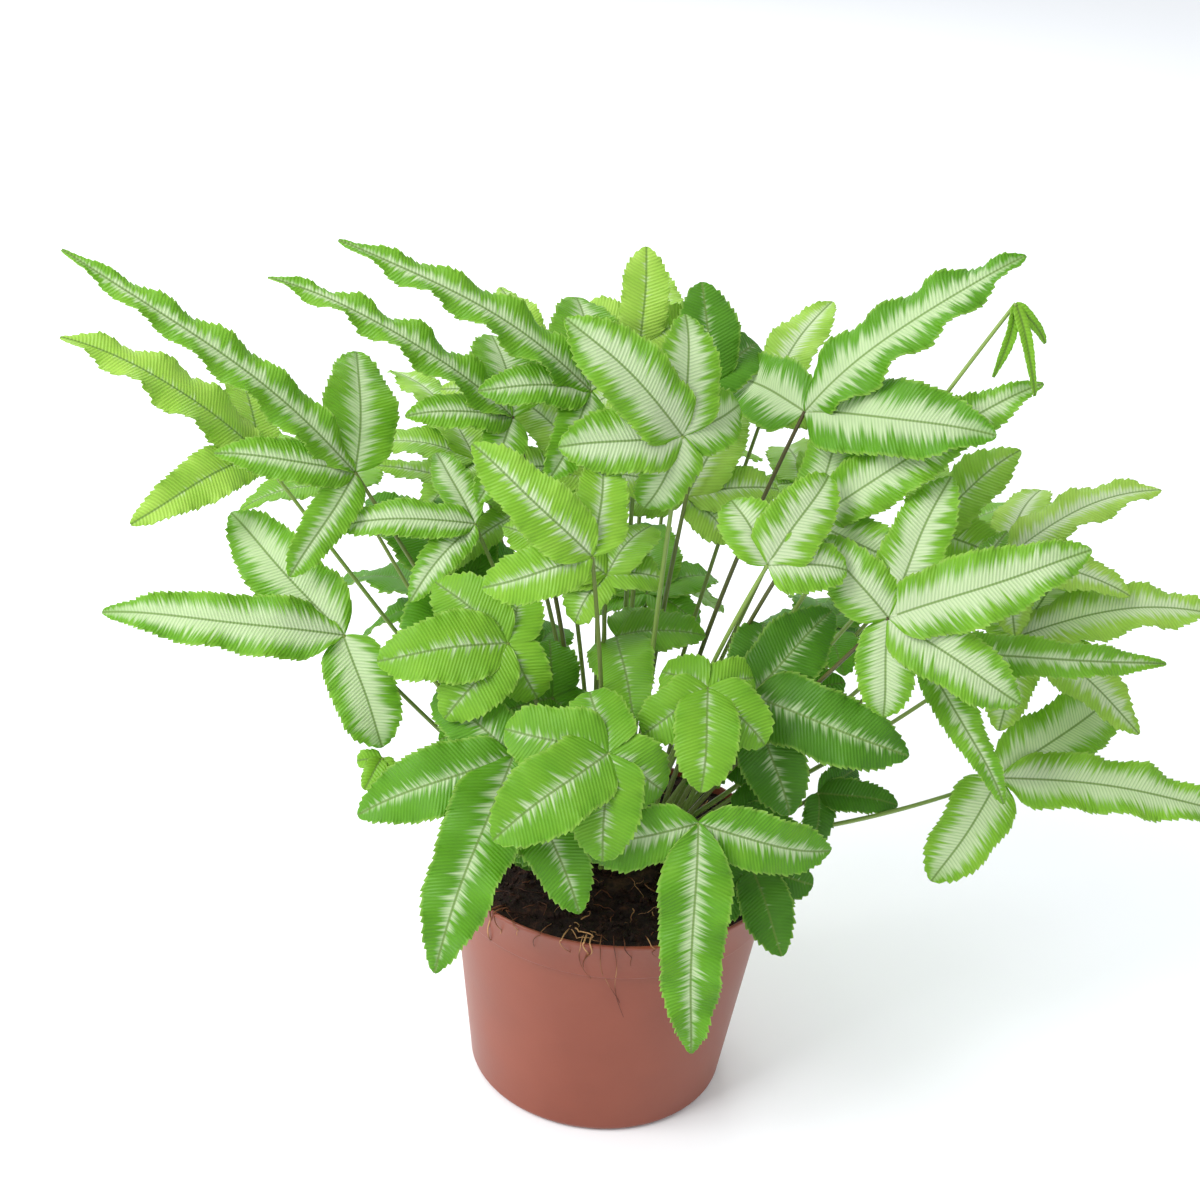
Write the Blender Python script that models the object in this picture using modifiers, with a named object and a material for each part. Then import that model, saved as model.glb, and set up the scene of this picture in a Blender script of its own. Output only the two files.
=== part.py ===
"""Potted variegated Cretan brake fern in a 12 cm nursery pot.

Frame: +Z up, origin at the middle of the pot's flat underside, the plant's fullest side towards -Y
and its long fronds spread along X. Every frond is one grown piece: a wiry stalk, the fork on top
of it and the leaflets that spread from the fork.
"""

import math

import bmesh
import bpy
import numpy as np
from mathutils.bvhtree import BVHTree

MM = 0.001
GAP = 0.3

# Pot, in millimetres.
POT_HEIGHT = 90.0
RIM_RADIUS = 60.0
BASE_RADIUS = 45.6
COLLAR_HEIGHT = 15.0
COLLAR_TAPER = 3.2
COLLAR_STEP = 1.4
WALL = 1.3
BASE_THICKNESS = 1.8
CORNER_RADIUS = 3.0
TURNED_STEPS = 36
DRAIN_HOLES = 8
DRAIN_CIRCLE_RADIUS = 33.0
DRAIN_HOLE_RADIUS = 3.5

# Potting soil and the crown that stands in it.
SOIL_TOP = 86.5
SOIL_CROWN_TOP = 88.5
CROWN_RADIUS = 27.0
CROWN_BOTTOM = 80.0
CROWN_TOP = 92.0

# Fronds.
STALK_RADIUS = 0.8
STALK_POINTS = 6
STALK_ROOT = 2.5
STALK_INNER_BASE = 7.0
STALK_OUTER_BASE = 24.0
STALK_REACH = 130.0
STALK_BEND = 0.62
FORK_RADIUS = 1.7
BLADE_THICKNESS = 0.5
BLADE_ROW_LENGTH = 18.0
BLADE_MIN_ROWS = 2
BLADE_NECK = 0.7
BLADE_TIP = 0.8
BLADE_FOLD = 0.15
BLADE_MARGIN = 1.6
BLADE_BOW = 0.11
SIDE_DROOP = 24.0
FACE_LEAN = 45.0
FACE_LEAN_LIMITS = (-20.0, 55.0)
FACE_LEAN_PER_MM = 0.7

# Leaflets of a frond as (swing from the end leaflet in degrees, clockwise seen from above the
# leaf; share of the end leaflet's length; share of its width).
TRIDENT = [(0, 1.0, 1.0), (58, 0.7, 0.9), (-58, 0.7, 0.9)]
HAND = [(0, 1.0, 1.0), (50, 0.75, 0.9), (-50, 0.75, 0.9), (112, 0.5, 0.8), (-112, 0.5, 0.8)]
WING_LEFT = [(0, 1.0, 1.0), (42, 0.75, 1.2), (-115, 0.5, 1.1)]
WING_RIGHT = [(0, 1.0, 1.0), (-42, 0.75, 1.2), (115, 0.5, 1.1)]
STREAMER = [(0, 1.0, 1.0), (62, 0.4, 1.6), (-30, 0.4, 1.0), (-95, 0.35, 1.0)]
CROSS = [(0, 1.0, 1.0), (75, 0.6, 0.9), (-75, 0.6, 0.9)]
BUDS = [(0, 1.0, 1.0), (25, 0.8, 1.0), (-30, 0.6, 1.0)]

# Each frond: fork (x, y, z), then heading and pitch of its end leaflet in degrees, the leaflet's
# length and width, and how its leaflets spread. Chosen by hand, places to the nearest 5 mm.
FRONDS = {
    "front_hanging_frond": ((25, -60, 140), -80, -76, 78, 22, CROSS),
    "low_right_frond": ((130, 0, 130), 0, -4, 85, 20, WING_RIGHT),
    "low_left_frond": ((-95, -10, 170), 180, 0, 80, 20, WING_LEFT),
    "front_left_frond": ((-35, -45, 150), -115, -50, 72, 25, HAND),
    "tall_left_frond": ((-20, 10, 255), 180, 28, 92, 15, STREAMER),
    "tall_right_frond": ((50, 20, 250), 0, 42, 85, 22, WING_LEFT),
    "tall_centre_frond": ((10, -10, 250), 175, 42, 52, 23, HAND),
    "upper_right_frond": ((55, 0, 220), 5, 38, 85, 20, TRIDENT),
    "right_frond": ((80, -25, 200), 0, 25, 66, 23, HAND),
    "tall_inner_frond": ((-45, 20, 240), 180, 26, 90, 14, STREAMER),
    "upper_left_frond": ((-95, 10, 220), 180, 36, 115, 15, STREAMER),
    "far_left_frond": ((-130, 30, 215), 185, 30, 75, 19, TRIDENT),
    "far_right_frond": ((135, 30, 170), 5, 10, 70, 22, HAND),
    "centre_frond": ((-15, -40, 220), 165, 35, 50, 19, TRIDENT),
    "left_arching_frond": ((-55, 10, 205), 180, 4, 48, 14, TRIDENT),
    "centre_right_frond": ((40, -25, 215), 50, 40, 36, 20, TRIDENT),
    "front_centre_frond": ((-5, -55, 160), -150, -30, 45, 25, HAND),
    "right_shaded_frond": ((40, -20, 165), -10, -14, 55, 24, HAND),
    "right_narrow_frond": ((95, -10, 180), 0, 2, 80, 14, TRIDENT),
    "unrolling_frond": ((110, 10, 295), -20, -72, 30, 4, BUDS),
    "inner_right_frond": ((25, -35, 175), -90, -45, 34, 20, HAND),
    "left_narrow_frond": ((-40, 35, 200), 175, 10, 55, 14, TRIDENT),
    "left_shaded_frond": ((-55, 15, 180), 170, 22, 50, 24, HAND),
    "inner_frond": ((-5, 5, 170), -60, -10, 40, 20, HAND),
    "front_right_low_frond": ((45, -45, 115), -60, -40, 30, 16, TRIDENT),
    "front_low_frond": ((-15, -50, 135), -100, -35, 34, 22, HAND),
    "right_upright_frond": ((100, 35, 205), 10, 48, 40, 20, TRIDENT),
    "right_pale_frond": ((130, 50, 190), 15, 25, 60, 20, HAND),
    "back_tip_frond": ((-5, 45, 260), 90, 70, 32, 16, TRIDENT),
    "back_dark_frond": ((20, 40, 250), 110, 45, 34, 20, TRIDENT),
    "young_left_frond": ((-80, -20, 130), -120, -40, 12, 7, TRIDENT),
    "inner_left_frond": ((-40, -25, 180), -170, -8, 42, 22, HAND),
    "inner_upper_frond": ((-15, 25, 220), 150, 25, 44, 20, HAND),
    "inner_back_frond": ((15, 35, 210), 60, 30, 44, 20, HAND),
    "inner_shaded_frond": ((-25, -5, 150), -150, -10, 42, 22, HAND),
    "crown_left_frond": ((-25, 5, 125), 160, 10, 36, 20, TRIDENT),
    "crown_right_frond": ((30, 10, 130), 20, 10, 38, 20, HAND),
    "soil_left_frond": ((-30, -20, 110), -130, -5, 24, 16, TRIDENT),
    "soil_middle_frond": ((0, -20, 115), -90, -15, 24, 16, TRIDENT),
    "soil_right_frond": ((40, -15, 115), -30, -5, 28, 17, TRIDENT),
    "drooping_small_frond": ((70, 5, 115), -5, -25, 28, 12, TRIDENT),
    "rear_tall_frond": ((0, 75, 235), 90, 25, 60, 20, HAND),
    "rear_left_frond": ((-60, 75, 200), 130, 15, 60, 22, HAND),
    "rear_right_frond": ((60, 80, 200), 50, 15, 60, 22, HAND),
    "rear_low_left_frond": ((-65, 60, 150), 150, -5, 55, 22, HAND),
    "rear_low_right_frond": ((70, 65, 150), 40, -5, 55, 22, HAND),
    "rear_drooping_frond": ((0, 95, 150), 90, -35, 65, 22, CROSS),
    "rear_upper_left_frond": ((-35, 65, 225), 120, 35, 55, 20, TRIDENT),
    "rear_upper_right_frond": ((40, 65, 230), 60, 35, 55, 20, TRIDENT),
    "rear_outer_left_frond": ((-105, 75, 185), 150, 5, 60, 20, TRIDENT),
    "rear_outer_right_frond": ((110, 80, 180), 30, 5, 60, 20, TRIDENT),
    "rear_spreading_frond": ((10, 110, 190), 85, 5, 60, 22, HAND),
    "heart_left_frond": ((-35, 25, 150), 170, 0, 42, 22, HAND),
    "heart_right_frond": ((35, -5, 145), -20, -5, 42, 22, HAND),
    "heart_back_frond": ((5, 50, 165), 90, 10, 44, 22, HAND),
    "heart_upper_frond": ((-10, 0, 195), 120, 15, 38, 20, HAND),
}

# Small turns (swing, rise) tried in this order until a leaflet clears its neighbours.
TURNS = [(0, 0)] + [
    (side * swing, rise)
    for swing, lift in ((0, 5), (6, 0), (6, 5), (0, 10), (12, 0), (12, 8), (0, 16), (18, 0),
                        (18, 12), (0, 24), (28, 0), (28, 16), (40, 0), (40, 20), (56, 20), (70, 30))
    for side in (1, -1)
    for rise in sorted({lift, -lift})
]

POT_COLOUR = (0.50, 0.13, 0.06, 1.0)
SOIL_COLOUR = (0.02, 0.012, 0.008, 1.0)
CROWN_COLOUR = (0.07, 0.035, 0.018, 1.0)
LEAF_COLOUR = (0.22, 0.42, 0.05, 1.0)

# Moves of a stalk's foot (degrees round the crown, mm outward) tried until it clears the others.
FOOT_MOVES = [(0, 0)] + [
    (side * step, shift)
    for step in range(5, 125, 5)
    for shift in (0, 5, 10, -4)
    for side in (1, -1)
]


def make_material(name, colour, roughness):
    material = bpy.data.materials.new(name)
    material.use_nodes = True
    shader = material.node_tree.nodes["Principled BSDF"]
    shader.inputs["Base Color"].default_value = colour
    shader.inputs["Roughness"].default_value = roughness
    return material


def add_object(name, mesh, collection, material=None):
    part = bpy.data.objects.new(name, mesh)
    collection.objects.link(part)
    if material:
        mesh.materials.clear()
        mesh.materials.append(material)
    return part


def turned(name, profile, collection, material):
    """A closed (radius, height) profile in mm, turned once about Z."""
    mesh = bpy.data.meshes.new(name)
    points = [(radius * MM, 0.0, height * MM) for radius, height in profile]
    mesh.from_pydata(points, [(i, i + 1) for i in range(len(points) - 1)], [])
    part = add_object(name, mesh, collection, material)
    screw = part.modifiers.new("turn", "SCREW")
    screw.steps = TURNED_STEPS
    screw.render_steps = TURNED_STEPS
    screw.use_merge_vertices = True
    screw.merge_threshold = 0.00001
    return part


def outer_radius(height):
    """Outside of the tapered body below the collar, in mm."""
    body_top = POT_HEIGHT - COLLAR_HEIGHT
    top_radius = RIM_RADIUS - COLLAR_TAPER - COLLAR_STEP
    return BASE_RADIUS + (top_radius - BASE_RADIUS) * height / body_top


def make_pot(collection, cutters):
    """Thin moulded pot: tapered body, stepped-out collar, flat base with drain holes."""
    body_top = POT_HEIGHT - COLLAR_HEIGHT
    corner = [
        (outer_radius(CORNER_RADIUS) - CORNER_RADIUS * (1 - math.cos(angle)),
         CORNER_RADIUS * (1 - math.sin(angle)))
        for angle in (0.0, math.pi / 6, math.pi / 3, math.pi / 2)
    ]
    inside = [
        (0.0, BASE_THICKNESS),
        (outer_radius(BASE_THICKNESS) - WALL - CORNER_RADIUS / 2, BASE_THICKNESS),
        (outer_radius(CORNER_RADIUS) - WALL, CORNER_RADIUS + BASE_THICKNESS / 2),
        (outer_radius(body_top) - WALL, body_top + WALL),
        (RIM_RADIUS - COLLAR_TAPER - WALL, body_top + 2 * WALL),
        (RIM_RADIUS - WALL, POT_HEIGHT),
    ]
    outside = [
        (RIM_RADIUS, POT_HEIGHT),
        (RIM_RADIUS - COLLAR_TAPER, body_top),
        (outer_radius(body_top), body_top),
        *corner,
        (0.0, 0.0),
    ]
    plastic = make_material("terracotta_plastic", POT_COLOUR, 0.4)
    pot = turned("pot", inside + outside, collection, plastic)
    for index in range(DRAIN_HOLES):
        angle = 2 * math.pi * index / DRAIN_HOLES
        bpy.ops.mesh.primitive_cylinder_add(
            vertices=12,
            radius=DRAIN_HOLE_RADIUS * MM,
            depth=4 * BASE_THICKNESS * MM,
            location=(
                DRAIN_CIRCLE_RADIUS * MM * math.cos(angle),
                DRAIN_CIRCLE_RADIUS * MM * math.sin(angle),
                0.0,
            ),
        )
        cutter = bpy.context.object
        cutter.name = f"drain_cutter_{index + 1}"
        cutter.hide_render = True
        cutter.display_type = "WIRE"
        for owner in list(cutter.users_collection):
            owner.objects.unlink(cutter)
        cutters.objects.link(cutter)
        hole = pot.modifiers.new(f"drain_{index + 1}", "BOOLEAN")
        hole.operation = "DIFFERENCE"
        hole.solver = "EXACT"
        hole.object = cutter
    return pot


def make_soil(collection):
    """Peat plug that fills the pot, slightly heaped towards a round recess for the crown."""
    body_top = POT_HEIGHT - COLLAR_HEIGHT
    floor = BASE_THICKNESS + GAP
    recess = CROWN_RADIUS + GAP
    profile = [
        (0.0, CROWN_BOTTOM - GAP),
        (recess, CROWN_BOTTOM - GAP),
        (recess, SOIL_CROWN_TOP),
        (RIM_RADIUS - WALL - GAP - 1.0, SOIL_TOP),
        (RIM_RADIUS - COLLAR_TAPER - WALL - GAP - 0.2, body_top + 3 * WALL),
        (outer_radius(body_top) - WALL - GAP - 0.4, body_top + WALL),
        (outer_radius(CORNER_RADIUS) - WALL - GAP - 1.0, CORNER_RADIUS + BASE_THICKNESS),
        (outer_radius(BASE_THICKNESS) - WALL - CORNER_RADIUS - GAP, floor),
        (0.0, floor),
    ]
    return turned("potting_soil", profile, collection, make_material("peat", SOIL_COLOUR, 0.95))


def make_crown(collection):
    """Short woody crown, half sunk in the soil, that every stalk stands on."""
    profile = [
        (0.0, CROWN_TOP),
        (CROWN_RADIUS - 1.5, CROWN_TOP),
        (CROWN_RADIUS, CROWN_TOP - 1.5),
        (CROWN_RADIUS, CROWN_BOTTOM),
        (0.0, CROWN_BOTTOM),
    ]
    return turned("crown", profile, collection, make_material("crown_wood", CROWN_COLOUR, 0.9))


def stalk_path(fork, step, shift):
    """A quadratic curve in mm from the crown to the fork, on a short upright root.

    A stalk that has to reach far sideways starts flatter than one that has to climb.
    """
    fork = np.array(fork, float)
    reach = math.hypot(fork[0], fork[1])
    around = math.atan2(fork[1], fork[0]) + math.radians(step)
    outward = np.array([math.cos(around), math.sin(around), 0.0])
    share = min(reach / STALK_REACH, 1.0)
    spread = STALK_INNER_BASE + (STALK_OUTER_BASE - STALK_INNER_BASE) * share + shift
    foot = outward * min(max(spread, STALK_RADIUS), STALK_OUTER_BASE)
    foot[2] = CROWN_TOP + GAP + STALK_ROOT
    rise = np.array([0.0, 0.0, fork[2] - foot[2]])
    run = fork - foot - rise
    lift = rise[2] / (rise[2] + reach)
    knee = foot + STALK_BEND * ((1.0 - lift) * run + lift * rise)
    along = np.linspace(0.0, 1.0, STALK_POINTS)[:, None]
    bend = (1 - along) ** 2 * foot + 2 * along * (1 - along) * knee + along ** 2 * fork
    return np.vstack([foot - [0.0, 0.0, STALK_ROOT], bend])


def blade_half_width(along, length, width):
    """Half width from neck to tip: opens quickly from the stalk and tapers to a point."""
    taper = 1.8 + 5.0 * width / length
    outline = (1.0 - np.exp(-along / 0.07)) * (1.0 - along ** taper) ** 0.8 / 0.95
    ends = BLADE_NECK * (1.0 - along) ** 8 + 0.5 * BLADE_TIP * along ** 8
    return 0.5 * width * outline + ends


def frond_axes(fork, heading, pitch):
    """Direction of the end leaflet and upper face of the fan; front fans face more forward."""
    heading = math.radians(heading)
    pitch = math.radians(pitch)
    lean = math.radians(np.clip(FACE_LEAN - FACE_LEAN_PER_MM * fork[1], *FACE_LEAN_LIMITS))
    ahead = np.array([
        math.cos(pitch) * math.cos(heading),
        math.cos(pitch) * math.sin(heading),
        math.sin(pitch),
    ])
    face = np.array([0.0, -math.sin(lean), math.cos(lean)])
    face -= (face @ ahead) * ahead
    return ahead, face / np.linalg.norm(face)


def blade_grid(frond, leaflet, turn):
    """Midrib and two edges of one leaflet as a (rows + 1, 3, xyz) array, with its upper face.

    The further a leaflet swings from the end leaflet, the more it droops out of the fan.
    """
    fork, heading, pitch, end_length, end_width, _ = frond
    swing, length_share, width_share = leaflet
    length = end_length * length_share
    width = end_width * width_share
    end, fan_face = frond_axes(fork, heading, pitch)
    droop = SIDE_DROOP * math.sin(math.radians(abs(swing) / 2))
    swing = math.radians(swing + turn[0])
    rise = math.radians(turn[1] - droop)
    flat = math.cos(swing) * end + math.sin(swing) * np.cross(end, fan_face)
    ahead = math.cos(rise) * flat + math.sin(rise) * fan_face
    face = math.cos(rise) * fan_face - math.sin(rise) * flat
    side = np.cross(ahead, face)
    rows = max(BLADE_MIN_ROWS, round(length / BLADE_ROW_LENGTH))
    along = np.linspace(0.0, 1.0, rows + 1)[:, None] ** 1.2
    arch = 4.0 * BLADE_BOW * along * (1.0 - along)
    midrib = np.array(fork) + length * (along * ahead + arch * face)
    half = blade_half_width(along, length, width)
    across = np.array([-1.0, 0.0, 1.0])[None, :, None]
    grid = midrib[:, None, :] + half[:, None] * (across * side + BLADE_FOLD * np.abs(across) * face)
    return grid, face


def grid_faces(rows, columns):
    return [
        (r * columns + c, r * columns + c + 1, (r + 1) * columns + c + 1, (r + 1) * columns + c)
        for r in range(rows - 1)
        for c in range(columns - 1)
    ]


class Taken:
    """A space already filled: its box and its surface tree, in mm."""

    def __init__(self, owner, points, faces):
        self.owner = owner
        self.low = points.min(axis=0)
        self.high = points.max(axis=0)
        self.tree = BVHTree.FromPolygons([tuple(p) for p in points], faces)

    def meets(self, other):
        apart = (self.low > other.high).any() or (other.low > self.high).any()
        return not apart and bool(self.tree.overlap(other.tree))


def blade_space(owner, grid, face):
    """The leaflet with a margin on both faces, as a closed skin."""
    rows, columns = grid.shape[:2]
    count = rows * columns
    upper = (grid + BLADE_MARGIN * face).reshape(-1, 3)
    lower = (grid - BLADE_MARGIN * face).reshape(-1, 3)
    top = grid_faces(rows, columns)
    bottom = [tuple(index + count for index in quad) for quad in top]
    edge = [r * columns for r in range(rows)] + [(rows - 1) * columns + c for c in range(1, columns)]
    edge += [r * columns + columns - 1 for r in range(rows - 2, -1, -1)]
    edge += [c for c in range(columns - 2, 0, -1)]
    rim = [(a, b, b + count, a + count) for a, b in zip(edge, edge[1:] + edge[:1])]
    return Taken(owner, np.concatenate([upper, lower]), top + bottom + rim)


def tube_space(owner, path, radius):
    """A square tube around a stalk, in mm, ending a little past the fork."""
    ahead = np.gradient(path, axis=0)
    ahead /= np.linalg.norm(ahead, axis=1, keepdims=True)
    path = np.vstack([path, path[-1] + FORK_RADIUS * ahead[-1]])
    ahead = np.vstack([ahead, ahead[-1]])
    outward = np.array([path[-1, 0], path[-1, 1], 0.0]) / math.hypot(path[-1, 0], path[-1, 1])
    side = np.cross(ahead, np.cross([0.0, 0.0, 1.0], outward))
    side /= np.linalg.norm(side, axis=1, keepdims=True)
    over = np.cross(side, ahead)
    corners = [side + over, over - side, -side - over, side - over]
    points = (path[:, None, :] + radius * np.stack(corners, axis=1)).reshape(-1, 3)
    faces = [
        (4 * r + k, 4 * r + (k + 1) % 4, 4 * r + 4 + (k + 1) % 4, 4 * r + 4 + k)
        for r in range(len(path) - 1)
        for k in range(4)
    ]
    return Taken(owner, points, faces)


def pot_space():
    """The rim and the soil surface, which no leaflet may cut."""
    angles = np.linspace(0.0, 2 * math.pi, 24, endpoint=False)
    rings = [
        (BASE_RADIUS, 0.0),
        (RIM_RADIUS + 1.0, POT_HEIGHT - COLLAR_HEIGHT),
        (RIM_RADIUS + 1.0, POT_HEIGHT + 1.0),
        (RIM_RADIUS - 3.0, SOIL_CROWN_TOP + 0.5),
        (CROWN_RADIUS, CROWN_TOP + 0.5),
        (0.5, CROWN_TOP + 0.5),
    ]
    points = np.array([
        (radius * math.cos(angle), radius * math.sin(angle), height)
        for radius, height in rings
        for angle in angles
    ])
    count = len(angles)
    faces = [
        (count * r + k, count * r + (k + 1) % count, count * (r + 1) + (k + 1) % count, count * (r + 1) + k)
        for r in range(len(rings) - 1)
        for k in range(count)
    ]
    return Taken("pot", points, faces)


def place_fronds():
    """Stalk path and leaflet grids of every frond, none meeting another frond.

    The foot of a stalk moves on the crown and a leaflet turns a little until it is clear. A leaflet that
    finds no room did not grow.
    """
    taken = [pot_space()]
    paths = {}
    for name, frond in FRONDS.items():
        for step, shift in FOOT_MOVES:
            path = stalk_path(frond[0], step, shift)
            space = tube_space(name, path, 1.5 * STALK_RADIUS)
            if not any(space.meets(other) for other in taken[1:]):
                break
        taken.append(space)
        paths[name] = path
    grids = {name: [] for name in FRONDS}
    for name, frond in FRONDS.items():
        for leaflet in frond[5]:
            for turn in TURNS:
                grid, face = blade_grid(frond, leaflet, turn)
                space = blade_space(name, grid, face)
                if not any(other.owner != name and space.meets(other) for other in taken):
                    taken.append(space)
                    grids[name].append(grid)
                    break
    return paths, grids


def solid_mesh(part):
    """The object as its modifiers leave it, with loose caps welded; the object is removed."""
    graph = bpy.context.evaluated_depsgraph_get()
    mesh = bpy.data.meshes.new_from_object(part.evaluated_get(graph))
    bpy.data.objects.remove(part)
    cage = bmesh.new()
    cage.from_mesh(mesh)
    bmesh.ops.remove_doubles(cage, verts=cage.verts, dist=0.00001)
    bmesh.ops.recalc_face_normals(cage, faces=cage.faces)
    cage.to_mesh(mesh)
    cage.free()
    return mesh


def make_stalk(name, path, collection):
    curve = bpy.data.curves.new(name, "CURVE")
    curve.dimensions = "3D"
    curve.bevel_depth = STALK_RADIUS * MM
    curve.bevel_resolution = 0
    curve.use_fill_caps = True
    spline = curve.splines.new("POLY")
    spline.points.add(len(path) - 1)
    spline.points.foreach_set("co", np.column_stack([path * MM, np.ones(len(path))]).ravel())
    return add_object(name, solid_mesh(add_object(name + "_curve", curve, collection)), collection)


def make_blade(name, grid, collection):
    mesh = bpy.data.meshes.new(name)
    rows, columns = grid.shape[:2]
    mesh.from_pydata((grid * MM).reshape(-1, 3).tolist(), [], grid_faces(rows, columns))
    part = add_object(name, mesh, collection)
    wall = part.modifiers.new("thickness", "SOLIDIFY")
    wall.thickness = BLADE_THICKNESS * MM
    wall.offset = 0.0
    return add_object(name, solid_mesh(part), collection)


def make_frond(name, path, grids, collection, workshop, material):
    """Fork ball united with its stalk and leaflets into one closed body."""
    bits = bpy.data.collections.new(name + "_bits")
    workshop.children.link(bits)
    make_stalk(name + "_stalk", path, bits)
    for index, grid in enumerate(grids):
        make_blade(f"{name}_blade_{index + 1}", grid, bits)
    ball = bpy.data.meshes.new(name)
    cage = bmesh.new()
    bmesh.ops.create_icosphere(cage, subdivisions=1, radius=FORK_RADIUS * MM)
    bmesh.ops.translate(cage, verts=cage.verts, vec=path[-1] * MM)
    cage.to_mesh(ball)
    cage.free()
    seed = add_object(name + "_seed", ball, collection)
    union = seed.modifiers.new("union", "BOOLEAN")
    union.operation = "UNION"
    union.solver = "EXACT"
    union.operand_type = "COLLECTION"
    union.collection = bits
    frond = add_object(name, solid_mesh(seed), collection, material)
    for bit in list(bits.objects):
        bpy.data.objects.remove(bit)
    bpy.data.collections.remove(bits)
    frond.data.shade_smooth()
    frond.data.set_sharp_from_angle(angle=math.radians(50))
    return frond


for item in list(bpy.data.objects):
    bpy.data.objects.remove(item)

plant_collection = bpy.data.collections.new("potted_fern")
cutter_collection = bpy.data.collections.new("cutters")
bpy.context.scene.collection.children.link(plant_collection)
bpy.context.scene.collection.children.link(cutter_collection)

make_pot(plant_collection, cutter_collection)
make_soil(plant_collection)
make_crown(plant_collection)
leaf_material = make_material("fern_leaf", LEAF_COLOUR, 0.5)
stalk_paths, leaflet_grids = place_fronds()
for frond_name, stalk in stalk_paths.items():
    make_frond(frond_name, stalk, leaflet_grids[frond_name], plant_collection, cutter_collection,
               leaf_material)
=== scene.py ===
import math

import bpy
import numpy as np
from mathutils import Matrix
from mathutils.bvhtree import BVHTree


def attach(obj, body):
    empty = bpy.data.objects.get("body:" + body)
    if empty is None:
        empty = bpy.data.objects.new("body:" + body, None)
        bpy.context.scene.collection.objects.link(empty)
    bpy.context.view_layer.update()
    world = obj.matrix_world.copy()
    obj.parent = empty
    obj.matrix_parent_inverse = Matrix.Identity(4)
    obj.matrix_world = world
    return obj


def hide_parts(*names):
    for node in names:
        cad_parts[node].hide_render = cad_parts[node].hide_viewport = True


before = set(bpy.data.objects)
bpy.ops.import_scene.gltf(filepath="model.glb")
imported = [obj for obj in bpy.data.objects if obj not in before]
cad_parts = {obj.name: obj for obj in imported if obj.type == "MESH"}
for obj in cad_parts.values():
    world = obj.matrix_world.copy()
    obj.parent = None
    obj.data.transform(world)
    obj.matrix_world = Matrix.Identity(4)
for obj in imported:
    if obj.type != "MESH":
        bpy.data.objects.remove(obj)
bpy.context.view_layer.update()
MM = 0.001

# ---------------------------------------------------------------------------------------------
# Camera. A level table-top shot from a little above, held slightly askew, aimed at the middle
# of the foliage over the pot.

CAMERA_RISE = math.radians(26.4)
CAMERA_ROLL = math.radians(4.64)
CAMERA_DISTANCE = 0.662
CAMERA_TARGET = np.array([-0.0115, 0.0, 0.1856])
CAMERA_LENS = 60.0

camera_back = np.array([0.0, -math.cos(CAMERA_RISE), math.sin(CAMERA_RISE)])
level_right = np.array([1.0, 0.0, 0.0])
level_up = np.array([0.0, math.sin(CAMERA_RISE), math.cos(CAMERA_RISE)])
camera_right = math.cos(CAMERA_ROLL) * level_right + math.sin(CAMERA_ROLL) * level_up
camera_up = math.cos(CAMERA_ROLL) * level_up - math.sin(CAMERA_ROLL) * level_right
camera_pose = Matrix.Identity(4)
for axis, direction in enumerate((camera_right, camera_up, camera_back)):
    camera_pose.col[axis][:3] = direction
camera_pose.translation = CAMERA_TARGET + CAMERA_DISTANCE * camera_back
camera_data = bpy.data.cameras.new("camera")
camera_data.lens = CAMERA_LENS
camera_data.sensor_width = 36.0
camera = bpy.data.objects.new("camera", camera_data)
camera.matrix_world = camera_pose
bpy.context.scene.collection.objects.link(camera)
bpy.context.scene.camera = camera

# ---------------------------------------------------------------------------------------------
# Studio. A white laminate table under a bright overcast room: one large soft window on the left
# and a little in front, white walls that fill the shadows, and no hard edges anywhere.

FLOOR_SIDE = 12.0
WINDOW_SIZE = 1.1
WINDOW_PLACE = (-1.25, -0.75, 1.35)
WINDOW_WATTS = 36.0
BACK_SIZE = 1.4
BACK_PLACE = (-0.5, 1.5, 1.3)
BACK_WATTS = 16.0
ROOM_STRENGTH = 0.95


def linear(code):
    """An sRGB colour such as "c8643c" as a linear (r, g, b, 1) tuple."""
    values = [int(code[i:i + 2], 16) / 255 for i in (0, 2, 4)]
    return tuple(v / 12.92 if v <= 0.04045 else ((v + 0.055) / 1.055) ** 2.4 for v in values) + (1.0,)


def add_node(tree, kind, inputs=None, **settings):
    """A node with its settings; each input is a value or an (upstream node, output) pair."""
    made = tree.nodes.new(kind)
    for key, value in settings.items():
        setattr(made, key, value)
    for key, value in (inputs or {}).items():
        if isinstance(value, tuple) and isinstance(value[0], bpy.types.Node):
            tree.links.new(value[0].outputs[value[1]], made.inputs[key])
        else:
            made.inputs[key].default_value = value
    return made


def new_material(name):
    """An empty node material and its output node."""
    material = bpy.data.materials.new(name)
    material.use_nodes = True
    material.node_tree.nodes.clear()
    return material, material.node_tree, add_node(material.node_tree, "ShaderNodeOutputMaterial")


def show(obj):
    bpy.context.scene.collection.objects.link(obj)
    return obj


def soft_light(name, size, watts, place, aim):
    """A square area light that faces a point."""
    data = bpy.data.lights.new(name, "AREA")
    data.size = size
    data.energy = watts
    lamp = show(bpy.data.objects.new(name, data))
    lamp.location = place
    toward = np.array(aim) - np.array(place)
    lamp.rotation_euler = (math.atan2(np.hypot(*toward[:2]), -toward[2]), 0.0,
                           math.atan2(toward[1], toward[0]) - math.pi / 2)
    return lamp


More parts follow.
